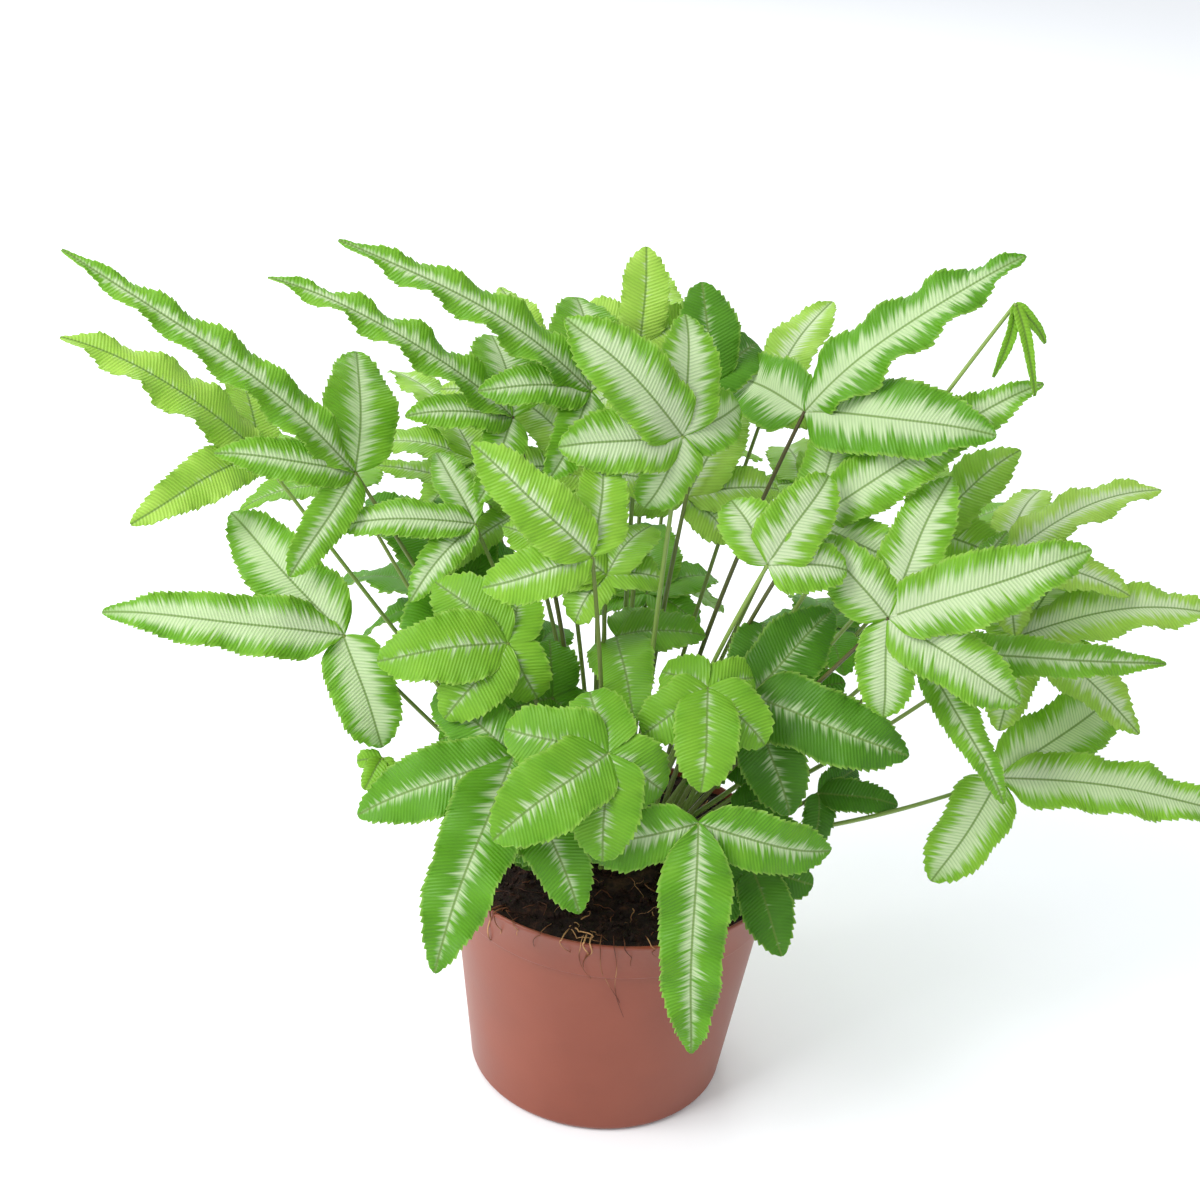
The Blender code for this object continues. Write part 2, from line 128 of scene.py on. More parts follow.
soft_light("window", WINDOW_SIZE, WINDOW_WATTS, WINDOW_PLACE, (0.0, 0.0, 0.12))
soft_light("back_wall", BACK_SIZE, BACK_WATTS, BACK_PLACE, (0.0, 0.0, 0.2))
room = bpy.data.worlds.new("room")
room.use_nodes = True
room.node_tree.nodes["Background"].inputs["Color"].default_value = linear("f7f9fc")
room.node_tree.nodes["Background"].inputs["Strength"].default_value = ROOM_STRENGTH
bpy.context.scene.world = room
bpy.context.scene.view_settings.view_transform = "Standard"

corner = FLOOR_SIDE / 2
floor_mesh = bpy.data.meshes.new("floor")
floor_mesh.from_pydata(
    [(-corner, -corner, 0), (corner, -corner, 0), (corner, corner, 0), (-corner, corner, 0)],
    [],
    [(0, 1, 2, 3)],
)
floor = show(bpy.data.objects.new("floor", floor_mesh))
laminate, tree, output = new_material("white_laminate")
surface = add_node(tree, "ShaderNodeBsdfPrincipled", {
    "Base Color": linear("f4f6f8"), "Roughness": 0.45, "Specular IOR Level": 0.3})
tree.links.new(surface.outputs[0], output.inputs["Surface"])
floor_mesh.materials.append(laminate)

# ---------------------------------------------------------------------------------------------
# Pot. Injection-moulded polypropylene coloured like terracotta: a thin tapered cup with a
# stepped-out collar, a small rounded lip and drain holes in the flat base.

POT_HEIGHT = 90.0
RIM_RADIUS = 60.0
BASE_RADIUS = 45.6
COLLAR_HEIGHT = 15.0
COLLAR_TAPER = 3.2
COLLAR_STEP = 1.4
WALL = 1.3
BASE_THICKNESS = 1.8
CORNER_RADIUS = 3.0
TURNED_SIDES = 192
LIP_RADIUS = 0.65
DRAIN_HOLES = 8
DRAIN_CIRCLE_RADIUS = 33.0
DRAIN_HOLE_RADIUS = 3.5


def outer_radius(height):
    """Outside of the tapered body below the collar."""
    body_top = POT_HEIGHT - COLLAR_HEIGHT
    top_radius = RIM_RADIUS - COLLAR_TAPER - COLLAR_STEP
    return BASE_RADIUS + (top_radius - BASE_RADIUS) * height / body_top


def arc(radius_at, height_at, size, start, stop, count):
    """Points of a circular arc in the (radius, height) plane, angles in degrees."""
    angles = np.radians(np.linspace(start, stop, count))
    return np.column_stack([radius_at + size * np.cos(angles), height_at + size * np.sin(angles)])


def grid_quads(rows, columns, wrap=False):
    """Quad corners of a rows by columns grid; wrap joins the last column to the first."""
    span = columns if wrap else columns - 1
    r, c = np.meshgrid(np.arange(rows - 1), np.arange(span), indexing="ij")
    after = (c + 1) % columns
    return np.stack([r * columns + c, r * columns + after,
                     (r + 1) * columns + after, (r + 1) * columns + c], axis=-1).reshape(-1, 4)


def mesh_object(name, points, faces, materials, face_material=None, sharp=40.0):
    """A smooth-shaded object from points in mm, faces as index lists, sharp past an angle."""
    mesh = bpy.data.meshes.new(name)
    mesh.from_pydata((points * MM).tolist(), [], [face for face in faces])
    for material in materials:
        mesh.materials.append(material)
    if face_material is not None:
        mesh.polygons.foreach_set("material_index", np.asarray(face_material, dtype=np.int32))
    mesh.shade_smooth()
    mesh.set_sharp_from_angle(angle=math.radians(sharp))
    return show(bpy.data.objects.new(name, mesh))


def revolve(profile, sides):
    """A (radius, height) profile turned about Z; its two end points lie on the axis."""
    turn = np.linspace(0.0, 2 * math.pi, sides, endpoint=False)
    ring = profile[1:-1]
    points = np.stack([
        ring[:, :1] * np.cos(turn),
        ring[:, :1] * np.sin(turn),
        np.repeat(ring[:, 1:], sides, axis=1),
    ], axis=-1)
    count = len(ring) * sides
    points = np.vstack([points.reshape(-1, 3), [0, 0, profile[0, 1]], [0, 0, profile[-1, 1]]])
    faces = grid_quads(len(ring), sides, wrap=True)[:, ::-1].tolist()
    first = np.arange(sides)
    last = first + count - sides
    after = (first + 1) % sides
    faces += np.column_stack([np.full(sides, count), first, after]).tolist()
    faces += np.column_stack([np.full(sides, count + 1), after + count - sides, last]).tolist()
    return points, faces


body_top = POT_HEIGHT - COLLAR_HEIGHT
lip_middle = RIM_RADIUS - LIP_RADIUS
shoulder = outer_radius(body_top)
foot_arc = arc(outer_radius(CORNER_RADIUS) - CORNER_RADIUS, CORNER_RADIUS, CORNER_RADIUS, 0.0, -90.0, 9)
pot_profile = np.vstack([
    [(0.0, BASE_THICKNESS)],
    [(radius, BASE_THICKNESS) for radius in np.linspace(6.0, BASE_RADIUS - WALL - 2.5, 8)],
    arc(BASE_RADIUS - WALL - 2.2, BASE_THICKNESS + 2.2, 2.2, -80.0, 0.0, 6),
    [(outer_radius(height) - WALL, height) for height in np.linspace(8.0, body_top + 0.6, 10)],
    [(RIM_RADIUS - COLLAR_TAPER - WALL, body_top + 2.6)],
    [(RIM_RADIUS - 2 * LIP_RADIUS - 0.4, POT_HEIGHT - 2.4)],
    arc(lip_middle, POT_HEIGHT - LIP_RADIUS, LIP_RADIUS, 180.0, 0.0, 9),
    [(RIM_RADIUS - 0.25, POT_HEIGHT - 1.6), (RIM_RADIUS - 0.6, POT_HEIGHT - 2.2)],
    [(RIM_RADIUS - COLLAR_TAPER + 0.35, body_top + 1.2)],
    arc(RIM_RADIUS - COLLAR_TAPER - 0.5, body_top + 0.55, 0.75, 0.0, -90.0, 5),
    arc(shoulder + 0.5, body_top - 0.7, 0.5, 90.0, 180.0, 4),
    [(outer_radius(height), height) for height in np.linspace(body_top - 3.0, 6.0, 12)],
    foot_arc,
    [(radius, 0.0) for radius in np.linspace(38.0, 6.0, 8)],
    [(0.0, 0.0)],
])
pot_points, pot_faces = revolve(pot_profile, TURNED_SIDES)
terracotta, tree, output = new_material("moulded_terracotta_polypropylene")
place = add_node(tree, "ShaderNodeTexCoord")
# Filled polypropylene is never quite even: broad pale and dark clouds a few centimetres across.
cloud = add_node(tree, "ShaderNodeTexNoise", {"Vector": (place, "Object"), "Scale": 28.0, "Detail": 3.0})
body_colour = add_node(tree, "ShaderNodeValToRGB", {"Fac": (cloud, "Fac")})
body_colour.color_ramp.elements[0].position = 0.3
body_colour.color_ramp.elements[0].color = linear("7c3b27")
body_colour.color_ramp.elements[1].position = 0.75
body_colour.color_ramp.elements[1].color = linear("894530")
# Watering leaves peat dust under the rim and in faint runs down the wall.
height = add_node(tree, "ShaderNodeSeparateXYZ", {"Vector": (place, "Object")})
near_rim = add_node(tree, "ShaderNodeMapRange", {
    "Value": (height, "Z"), "From Min": 0.062, "From Max": 0.092, "To Min": 0.0, "To Max": 0.6})
stretch = add_node(tree, "ShaderNodeMapping", {"Vector": (place, "Object"), "Scale": (160.0, 160.0, 30.0)})
dust = add_node(tree, "ShaderNodeTexNoise", {"Vector": (stretch, "Vector"), "Scale": 1.0, "Detail": 6.0,
                                             "Roughness": 0.65})
dust_edge = add_node(tree, "ShaderNodeMapRange", {
    "Value": (dust, "Fac"), "From Min": 0.56, "From Max": 0.78})
dust_share = add_node(tree, "ShaderNodeMath", {0: (dust_edge, "Result"), 1: (near_rim, "Result")},
                      operation="MULTIPLY")
dusty = add_node(tree, "ShaderNodeMix", {
    "Factor": (dust_share, "Value"), "A": (body_colour, "Color"), "B": linear("6b3d2a")}, data_type="RGBA")
satin = add_node(tree, "ShaderNodeTexNoise", {"Vector": (place, "Object"), "Scale": 900.0, "Detail": 2.0})
satin_bump = add_node(tree, "ShaderNodeBump", {
    "Height": (satin, "Fac"), "Strength": 0.12, "Distance": 0.0002})
sheen = add_node(tree, "ShaderNodeMapRange", {
    "Value": (cloud, "Fac"), "From Min": 0.2, "From Max": 0.8, "To Min": 0.34, "To Max": 0.46})
surface = add_node(tree, "ShaderNodeBsdfPrincipled", {
    "Base Color": (dusty, "Result"), "Roughness": (sheen, "Result"), "Normal": (satin_bump, "Normal"),
    "IOR": 1.49, "Specular IOR Level": 0.45})
tree.links.new(surface.outputs[0], output.inputs["Surface"])

pot = mesh_object("nursery_pot", pot_points, pot_faces, [terracotta], sharp=50.0)
hole_points, hole_faces = [], []
for hole in range(DRAIN_HOLES):
    angle = 2 * math.pi * hole / DRAIN_HOLES
    peg = np.array([(0, -3.0), (DRAIN_HOLE_RADIUS, -3.0), (DRAIN_HOLE_RADIUS, 5.0), (0, 5.0)])[::-1]
    points, faces = revolve(peg, 24)
    points = points + DRAIN_CIRCLE_RADIUS * np.array([math.cos(angle), math.sin(angle), 0.0])
    hole_faces += [[index + len(hole_points) * len(points) for index in face] for face in faces]
    hole_points.append(points)
pegs = mesh_object("drain_pegs", np.vstack(hole_points), hole_faces, [terracotta])
drains = pot.modifiers.new("drains", "BOOLEAN")
drains.operation = "DIFFERENCE"
drains.solver = "EXACT"
drains.object = pegs
bpy.context.view_layer.update()
drilled = bpy.data.meshes.new_from_object(pot.evaluated_get(bpy.context.evaluated_depsgraph_get()))
pot.modifiers.clear()
pot.data = drilled
bpy.data.objects.remove(pegs)
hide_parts("pot")
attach(pot, "root")

# ---------------------------------------------------------------------------------------------
# Potting soil. Moist dark peat pressed in by hand: a lumpy surface with loose crumbs on top and
# a felt of fine brown and cream roots, a few of which hang over the front of the rim.

SOIL_TOP = 87.6
SOIL_EDGE = RIM_RADIUS - WALL - 0.35
LUMP_HEIGHT = 2.6
SOIL_RINGS = 90
SOIL_SIDES = 220
CRUMBS = 1500
FIBRES = 210
random = np.random.default_rng(7)


def value_noise(points, cell, seed):
    """Smooth random heights from -1 to 1 on a square lattice of the given cell size, in mm."""
    lattice = np.random.default_rng(seed).uniform(-1.0, 1.0, (64, 64))
    scaled = points[..., :2] / cell + 32.0
    low = np.floor(scaled).astype(int)
    part = scaled - low
    part = part * part * (3.0 - 2.0 * part)
    i, j = low[..., 0] % 63, low[..., 1] % 63
    near = lattice[i, j] * (1 - part[..., 0]) + lattice[i + 1, j] * part[..., 0]
    far = lattice[i, j + 1] * (1 - part[..., 0]) + lattice[i + 1, j + 1] * part[..., 0]
    return near * (1 - part[..., 1]) + far * part[..., 1]


def soil_height(points):
    """Top of the peat in mm: a low heap, banked up towards the front, with lumps of three sizes."""
    spread = np.hypot(points[..., 0], points[..., 1]) / SOIL_EDGE
    lumps = (0.5 * value_noise(points, 13.0, 1) + 0.35 * value_noise(points, 5.0, 2)
             + 0.3 * value_noise(points, 2.1, 3) + 0.14 * value_noise(points, 1.0, 4))
    bank = 1.6 * np.clip(-points[..., 1] / SOIL_EDGE, 0.0, 1.0) ** 2
    return SOIL_TOP + 1.6 * (1.0 - spread ** 2) + bank + LUMP_HEIGHT * lumps * (1.0 - 0.3 * spread ** 4)


turn = np.linspace(0.0, 2 * math.pi, SOIL_SIDES, endpoint=False)
reach = np.linspace(0.0, 1.0, SOIL_RINGS)[1:, None] ** 0.8 * SOIL_EDGE
top_ring = np.stack([reach * np.cos(turn), reach * np.sin(turn), 0 * reach * turn], axis=-1)
top_ring[..., 2] = soil_height(top_ring)
wall_radii = np.array([
    SOIL_EDGE - 2.2, shoulder - WALL - 0.5, BASE_RADIUS - WALL - 1.5, BASE_RADIUS - WALL - 5.0, 2.0])
wall_heights = np.array([body_top + 6.0, body_top, 8.0, BASE_THICKNESS + 0.4, BASE_THICKNESS + 0.4])
wall_ring = np.stack([
    wall_radii[:, None] * np.cos(turn), wall_radii[:, None] * np.sin(turn),
    np.repeat(wall_heights[:, None], SOIL_SIDES, axis=1)], axis=-1)
rings = np.concatenate([top_ring, wall_ring])
count = rings.shape[0] * SOIL_SIDES
peak = [0.0, 0.0, float(soil_height(np.zeros(3)))]
soil_points = np.vstack([rings.reshape(-1, 3), peak, [0.0, 0.0, BASE_THICKNESS + 0.4]])
first = np.arange(SOIL_SIDES)
after = (first + 1) % SOIL_SIDES
last = count - SOIL_SIDES
soil_faces = grid_quads(rings.shape[0], SOIL_SIDES, wrap=True)[:, ::-1].tolist()
soil_faces += np.column_stack([np.full(SOIL_SIDES, count), first, after]).tolist()
soil_faces += np.column_stack([np.full(SOIL_SIDES, count + 1), after + last, first + last]).tolist()

peat, tree, output = new_material("moist_peat")
place = add_node(tree, "ShaderNodeTexCoord")
clods = add_node(tree, "ShaderNodeTexNoise", {"Vector": (place, "Object"), "Scale": 260.0, "Detail": 8.0,
                                              "Roughness": 0.75})
grit = add_node(tree, "ShaderNodeTexNoise", {"Vector": (place, "Object"), "Scale": 1400.0, "Detail": 4.0})
peat_colour = add_node(tree, "ShaderNodeValToRGB", {"Fac": (clods, "Fac")})
for stop, (position, code) in enumerate([
        (0.32, "0d0705"), (0.52, "24140d"), (0.66, "46291a"), (0.8, "6f4a30")]):
    ramp = peat_colour.color_ramp
    mark = ramp.elements[stop] if stop < 2 else ramp.elements.new(position)
    mark.position = position
    mark.color = linear(code)
rough = add_node(tree, "ShaderNodeBump", {"Height": (grit, "Fac"), "Strength": 0.9, "Distance": 0.0006})
rough = add_node(tree, "ShaderNodeBump", {
    "Height": (clods, "Fac"), "Strength": 0.9, "Distance": 0.0015, "Normal": (rough, "Normal")})
surface = add_node(tree, "ShaderNodeBsdfPrincipled", {
    "Base Color": (peat_colour, "Color"), "Roughness": 0.85, "Specular IOR Level": 0.25,
    "Normal": (rough, "Normal")})
tree.links.new(surface.outputs[0], output.inputs["Surface"])
soil = mesh_object("peat_bed", soil_points, soil_faces, [peat], sharp=180.0)
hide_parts("potting_soil")
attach(soil, "root")

# Loose crumbs: small lumps of one octahedral shape, squashed and turned at random.
crumb_shape = np.array([(1, 0, 0), (0, 1, 0), (-1, 0, 0), (0, -1, 0), (0, 0, 1), (0, 0, -1)], float)
crumb_faces = np.array([
    (0, 1, 4), (1, 2, 4), (2, 3, 4), (3, 0, 4), (1, 0, 5), (2, 1, 5), (3, 2, 5), (0, 3, 5)])
spread = SOIL_EDGE * 0.97 * np.sqrt(random.uniform(0.0, 1.0, CRUMBS))
around = random.uniform(0.0, 2 * math.pi, CRUMBS)
crumb_place = np.column_stack([spread * np.cos(around), spread * np.sin(around), np.zeros(CRUMBS)])
crumb_size = random.uniform(0.35, 1.0, (CRUMBS, 1, 1)) ** 2 * 2.1
crumb_place[:, 2] = soil_height(crumb_place) + 0.2 * crumb_size[:, 0, 0]
turns = np.linalg.qr(random.normal(size=(CRUMBS, 3, 3)))[0]
turns *= np.sign(np.linalg.det(turns))[:, None, None]
lumps = crumb_shape[None] * random.uniform(0.55, 1.0, (CRUMBS, 6, 1)) * crumb_size
lumps = np.einsum("nij,nvj->nvi", turns, lumps) + crumb_place[:, None, :]
crumb_index = (crumb_faces[None] + 6 * np.arange(CRUMBS)[:, None, None]).reshape(-1, 3)
crumbs = mesh_object("peat_crumbs", lumps.reshape(-1, 3), crumb_index.tolist(), [peat], sharp=30.0)
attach(crumbs, "root")


def tubes(paths, radii, sides):
    """Closed round tubes along many paths at once: paths (n, rings, 3), radii (n, rings)."""
    ahead = np.gradient(paths, axis=1)
    ahead /= np.linalg.norm(ahead, axis=2, keepdims=True)
    span = paths[:, -1:] - paths[:, :1] + 1e-6
    flat = np.cross(span, [0.0, 0.0, 1.0]) + [0.0, 1e-4, 0.0]
    first = np.cross(np.broadcast_to(flat, ahead.shape), ahead)
    first /= np.linalg.norm(first, axis=2, keepdims=True)
    second = np.cross(ahead, first)
    turn = np.linspace(0.0, 2 * math.pi, sides, endpoint=False)
    ring = (first[:, :, None] * np.cos(turn)[:, None] + second[:, :, None] * np.sin(turn)[:, None])
    points = paths[:, :, None] + radii[:, :, None, None] * ring
    count, rings = paths.shape[:2]
    wall = grid_quads(rings, sides, wrap=True)
    start = np.arange(sides)[::-1]
    stop = np.arange(sides) + (rings - 1) * sides
    faces = []
    for tube in range(count):
        shift = tube * rings * sides
        faces += (wall + shift).tolist()
        faces.append((start + shift).tolist())
        faces.append((stop + shift).tolist())
    return points.reshape(-1, 3), faces


# Fine roots: wandering threads half sunk in the peat, from dark brown to cream.
steps = np.linspace(0.0, 1.0, 14)
spread = SOIL_EDGE * np.sqrt(random.uniform(0.0, 0.9, FIBRES))
around = random.uniform(0.0, 2 * math.pi, FIBRES)
heading = random.uniform(0.0, 2 * math.pi, (FIBRES, 1))
heading = heading + np.cumsum(random.normal(0.0, 0.38, (FIBRES, 14)), axis=1)
length = random.uniform(5.0, 21.0, (FIBRES, 1))
fibre_x = spread[:, None] * np.cos(around)[:, None] + np.cumsum(np.cos(heading) * length / 14, axis=1)
fibre_y = spread[:, None] * np.sin(around)[:, None] + np.cumsum(np.sin(heading) * length / 14, axis=1)
outside = np.maximum(np.hypot(fibre_x, fibre_y) / (SOIL_EDGE - 1.0), 1.0)
fibre_x, fibre_y = fibre_x / outside, fibre_y / outside
fibre_paths = np.stack([fibre_x, fibre_y, 0 * fibre_x], axis=-1)
hop = random.uniform(-0.3, 2.4, (FIBRES, 1)) * np.sin(math.pi * steps) + 0.15
fibre_paths[..., 2] = soil_height(fibre_paths) + hop
fibre_radii = random.uniform(0.1, 0.28, (FIBRES, 1)) * (1.0 - 0.7 * steps)

# Roots washed over the rim: (bearing in degrees, drop in mm, drift in mm, radius in mm).
HANGING_ROOTS = [
    (-131, 16, -3, 0.42), (-129, 9, 2, 0.3), (-97, 7, 1, 0.35), (-95, 11, -2, 0.3), (-93, 28, 9, 0.16),
    (-88, 34, 6, 0.14), (-99, 18, 4, 0.15), (-84, 9, 3, 0.2), (-105, 6, 3, 0.25), (-112, 8, -3, 0.18),
    (-76, 5, 2, 0.2), (-121, 5, 2, 0.22),
]
hang_paths, hang_radii = [], []
for bearing, drop, drift, thickness in HANGING_ROOTS:
    share = np.linspace(0.0, 1.0, 26)
    inside = np.clip(share / 0.3, 0.0, 1.0)
    below = np.clip((share - 0.35) / 0.65, 0.0, 1.0)
    over_rim = POT_HEIGHT - 1.0 + 2.0 * np.sin(inside * math.pi / 2)
    height = np.where(share < 0.35, over_rim, POT_HEIGHT + 0.9 - drop * below)
    collar = RIM_RADIUS - COLLAR_TAPER * (POT_HEIGHT - height) / COLLAR_HEIGHT
    wall = np.where(height > body_top, collar, outer_radius(height))
    against_wall = wall + 0.5 + 0.5 * np.sin(below * 9.0 + bearing)
    radius = np.where(share < 0.35, RIM_RADIUS - 8.0 + 8.6 * inside, against_wall)
    bend = math.radians(bearing) + (drift * below ** 1.5 + 0.8 * np.sin(below * 7.0 + bearing)) / RIM_RADIUS
    hang_paths.append(np.column_stack([radius * np.cos(bend), radius * np.sin(bend), height]))
    hang_radii.append(thickness * (1.0 - 0.6 * share))

root_skin, tree, output = new_material("fine_root_fibre")
place = add_node(tree, "ShaderNodeTexCoord")
patches = add_node(tree, "ShaderNodeTexNoise", {"Vector": (place, "Object"), "Scale": 70.0, "Detail": 2.0})
root_colour = add_node(tree, "ShaderNodeValToRGB", {"Fac": (patches, "Fac")})
for stop, (position, code) in enumerate([(0.38, "2e170d"), (0.5, "6e3f22"), (0.62, "b58a5c")]):
    ramp = root_colour.color_ramp
    mark = ramp.elements[stop] if stop < 2 else ramp.elements.new(position)
    mark.position = position
    mark.color = linear(code)
surface = add_node(tree, "ShaderNodeBsdfPrincipled", {
    "Base Color": (root_colour, "Color"), "Roughness": 0.7, "Specular IOR Level": 0.3})
tree.links.new(surface.outputs[0], output.inputs["Surface"])
fibre_points, fibre_faces = tubes(fibre_paths, fibre_radii, 5)
roots = mesh_object("surface_roots", fibre_points, fibre_faces, [root_skin])
hang_points, hang_faces = tubes(np.array(hang_paths), np.array(hang_radii), 6)
rim_roots = mesh_object("rim_roots", hang_points, hang_faces, [root_skin])
for threads in (roots, rim_roots):
    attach(threads, "root")

# ---------------------------------------------------------------------------------------------
# Crown. The fern's short woody rootstock, half sunk in the peat: a knobbly mound with the dark
# stubs of old stalks between the living ones.

CROWN_RADIUS = 27.0
CROWN_TOP = 92.0
STUBS = 70

tilt = np.linspace(0.0, math.pi, 40)[1:-1, None]
turn = np.linspace(0.0, 2 * math.pi, 96, endpoint=False)[None, :]
mound = np.stack([
    np.sin(tilt) * np.cos(turn), np.sin(tilt) * np.sin(turn), np.cos(tilt) + 0 * turn], axis=-1)
mound *= [CROWN_RADIUS - 1.0, CROWN_RADIUS - 1.0, 5.6]
mound[..., 2] += 86.2
knobs = 1.2 * value_noise(mound, 6.0, 11) + 0.7 * value_noise(mound, 2.6, 12)
mound[..., 2] += knobs * np.sin(tilt) ** 0.5
crown_points = np.vstack([mound.reshape(-1, 3), [0, 0, 91.6], [0, 0, 80.8]])
count = mound.shape[0] * 96
first = np.arange(96)
after = (first + 1) % 96
crown_faces = grid_quads(mound.shape[0], 96, wrap=True)[:, ::-1].tolist()
crown_faces += np.column_stack([np.full(96, count), first, after]).tolist()
crown_faces += np.column_stack([np.full(96, count + 1), after + count - 96, first + count - 96]).tolist()
spread = (CROWN_RADIUS - 4.0) * np.sqrt(random.uniform(0.02, 1.0, STUBS))
around = random.uniform(0.0, 2 * math.pi, STUBS)
foot = np.column_stack([spread * np.cos(around), spread * np.sin(around), np.full(STUBS, 88.0)])
lean = np.column_stack([np.cos(around), np.sin(around), np.zeros(STUBS)])
lean = lean * random.uniform(0.0, 3.0, (STUBS, 1))
rise = random.uniform(4.5, 9.0, (STUBS, 1)) * [0.0, 0.0, 1.0]
grow = np.linspace(0.0, 1.0, 5)[None, :, None]
stub_paths = foot[:, None] + grow * (lean + rise)[:, None]
stub_radii = random.uniform(0.7, 1.3, (STUBS, 1)) * np.linspace(1.2, 0.8, 5)
stub_points, stub_faces = tubes(stub_paths, stub_radii, 7)
crown_faces += [[index + len(crown_points) for index in face] for face in stub_faces]
crown_skin, tree, output = new_material("scaly_rootstock")
place = add_node(tree, "ShaderNodeTexCoord")
scales = add_node(tree, "ShaderNodeTexNoise", {"Vector": (place, "Object"), "Scale": 420.0, "Detail": 6.0})
scale_colour = add_node(tree, "ShaderNodeValToRGB", {"Fac": (scales, "Fac")})
scale_colour.color_ramp.elements[0].position = 0.35
scale_colour.color_ramp.elements[0].color = linear("140c07")
scale_colour.color_ramp.elements[1].position = 0.7
scale_colour.color_ramp.elements[1].color = linear("4a3320")
rough = add_node(tree, "ShaderNodeBump", {"Height": (scales, "Fac"), "Strength": 0.8, "Distance": 0.001})
surface = add_node(tree, "ShaderNodeBsdfPrincipled", {
    "Base Color": (scale_colour, "Color"), "Roughness": 0.8, "Specular IOR Level": 0.3,
    "Normal": (rough, "Normal")})
tree.links.new(surface.outputs[0], output.inputs["Surface"])
crown = mesh_object("rootstock", np.vstack([crown_points, stub_points]), crown_faces, [crown_skin])
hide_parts("crown")
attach(crown, "root")

# ---------------------------------------------------------------------------------------------
# Fronds. Each is a wiry stalk that forks at its top into a few strap-shaped leaflets: leathery,
# finely toothed, wavy along the margin and banded whitish green down the middle. The table, the
# stalk's curve and the rule that turns a leaflet clear of its neighbours are those of the solids.

GAP = 0.3
STALK_RADIUS = 0.8
STALK_POINTS = 6
STALK_ROOT = 2.5
STALK_INNER_BASE = 7.0
STALK_OUTER_BASE = 24.0
STALK_REACH = 130.0
STALK_BEND = 0.62
BLADE_ROW_LENGTH = 18.0
BLADE_MIN_ROWS = 2
BLADE_NECK = 0.7
BLADE_TIP = 0.8
BLADE_FOLD = 0.15
BLADE_MARGIN = 1.6
BLADE_BOW = 0.11
SIDE_DROOP = 24.0
FACE_LEAN = 45.0
FACE_LEAN_LIMITS = (-20.0, 55.0)
FACE_LEAN_PER_MM = 0.7
FORK_RADIUS = 1.7
SOLID_SOIL_TOP = 88.5

# Leaflets of a frond as (swing from the end leaflet in degrees, clockwise seen from above the
# leaf; share of the end leaflet's length; share of its width).
TRIDENT = [(0, 1.0, 1.0), (58, 0.7, 0.9), (-58, 0.7, 0.9)]
HAND = [(0, 1.0, 1.0), (50, 0.75, 0.9), (-50, 0.75, 0.9), (112, 0.5, 0.8), (-112, 0.5, 0.8)]
WING_LEFT = [(0, 1.0, 1.0), (42, 0.75, 1.2), (-115, 0.5, 1.1)]
WING_RIGHT = [(0, 1.0, 1.0), (-42, 0.75, 1.2), (115, 0.5, 1.1)]
STREAMER = [(0, 1.0, 1.0), (62, 0.4, 1.6), (-30, 0.4, 1.0), (-95, 0.35, 1.0)]
CROSS = [(0, 1.0, 1.0), (75, 0.6, 0.9), (-75, 0.6, 0.9)]
BUDS = [(0, 1.0, 1.0), (25, 0.8, 1.0), (-30, 0.6, 1.0)]

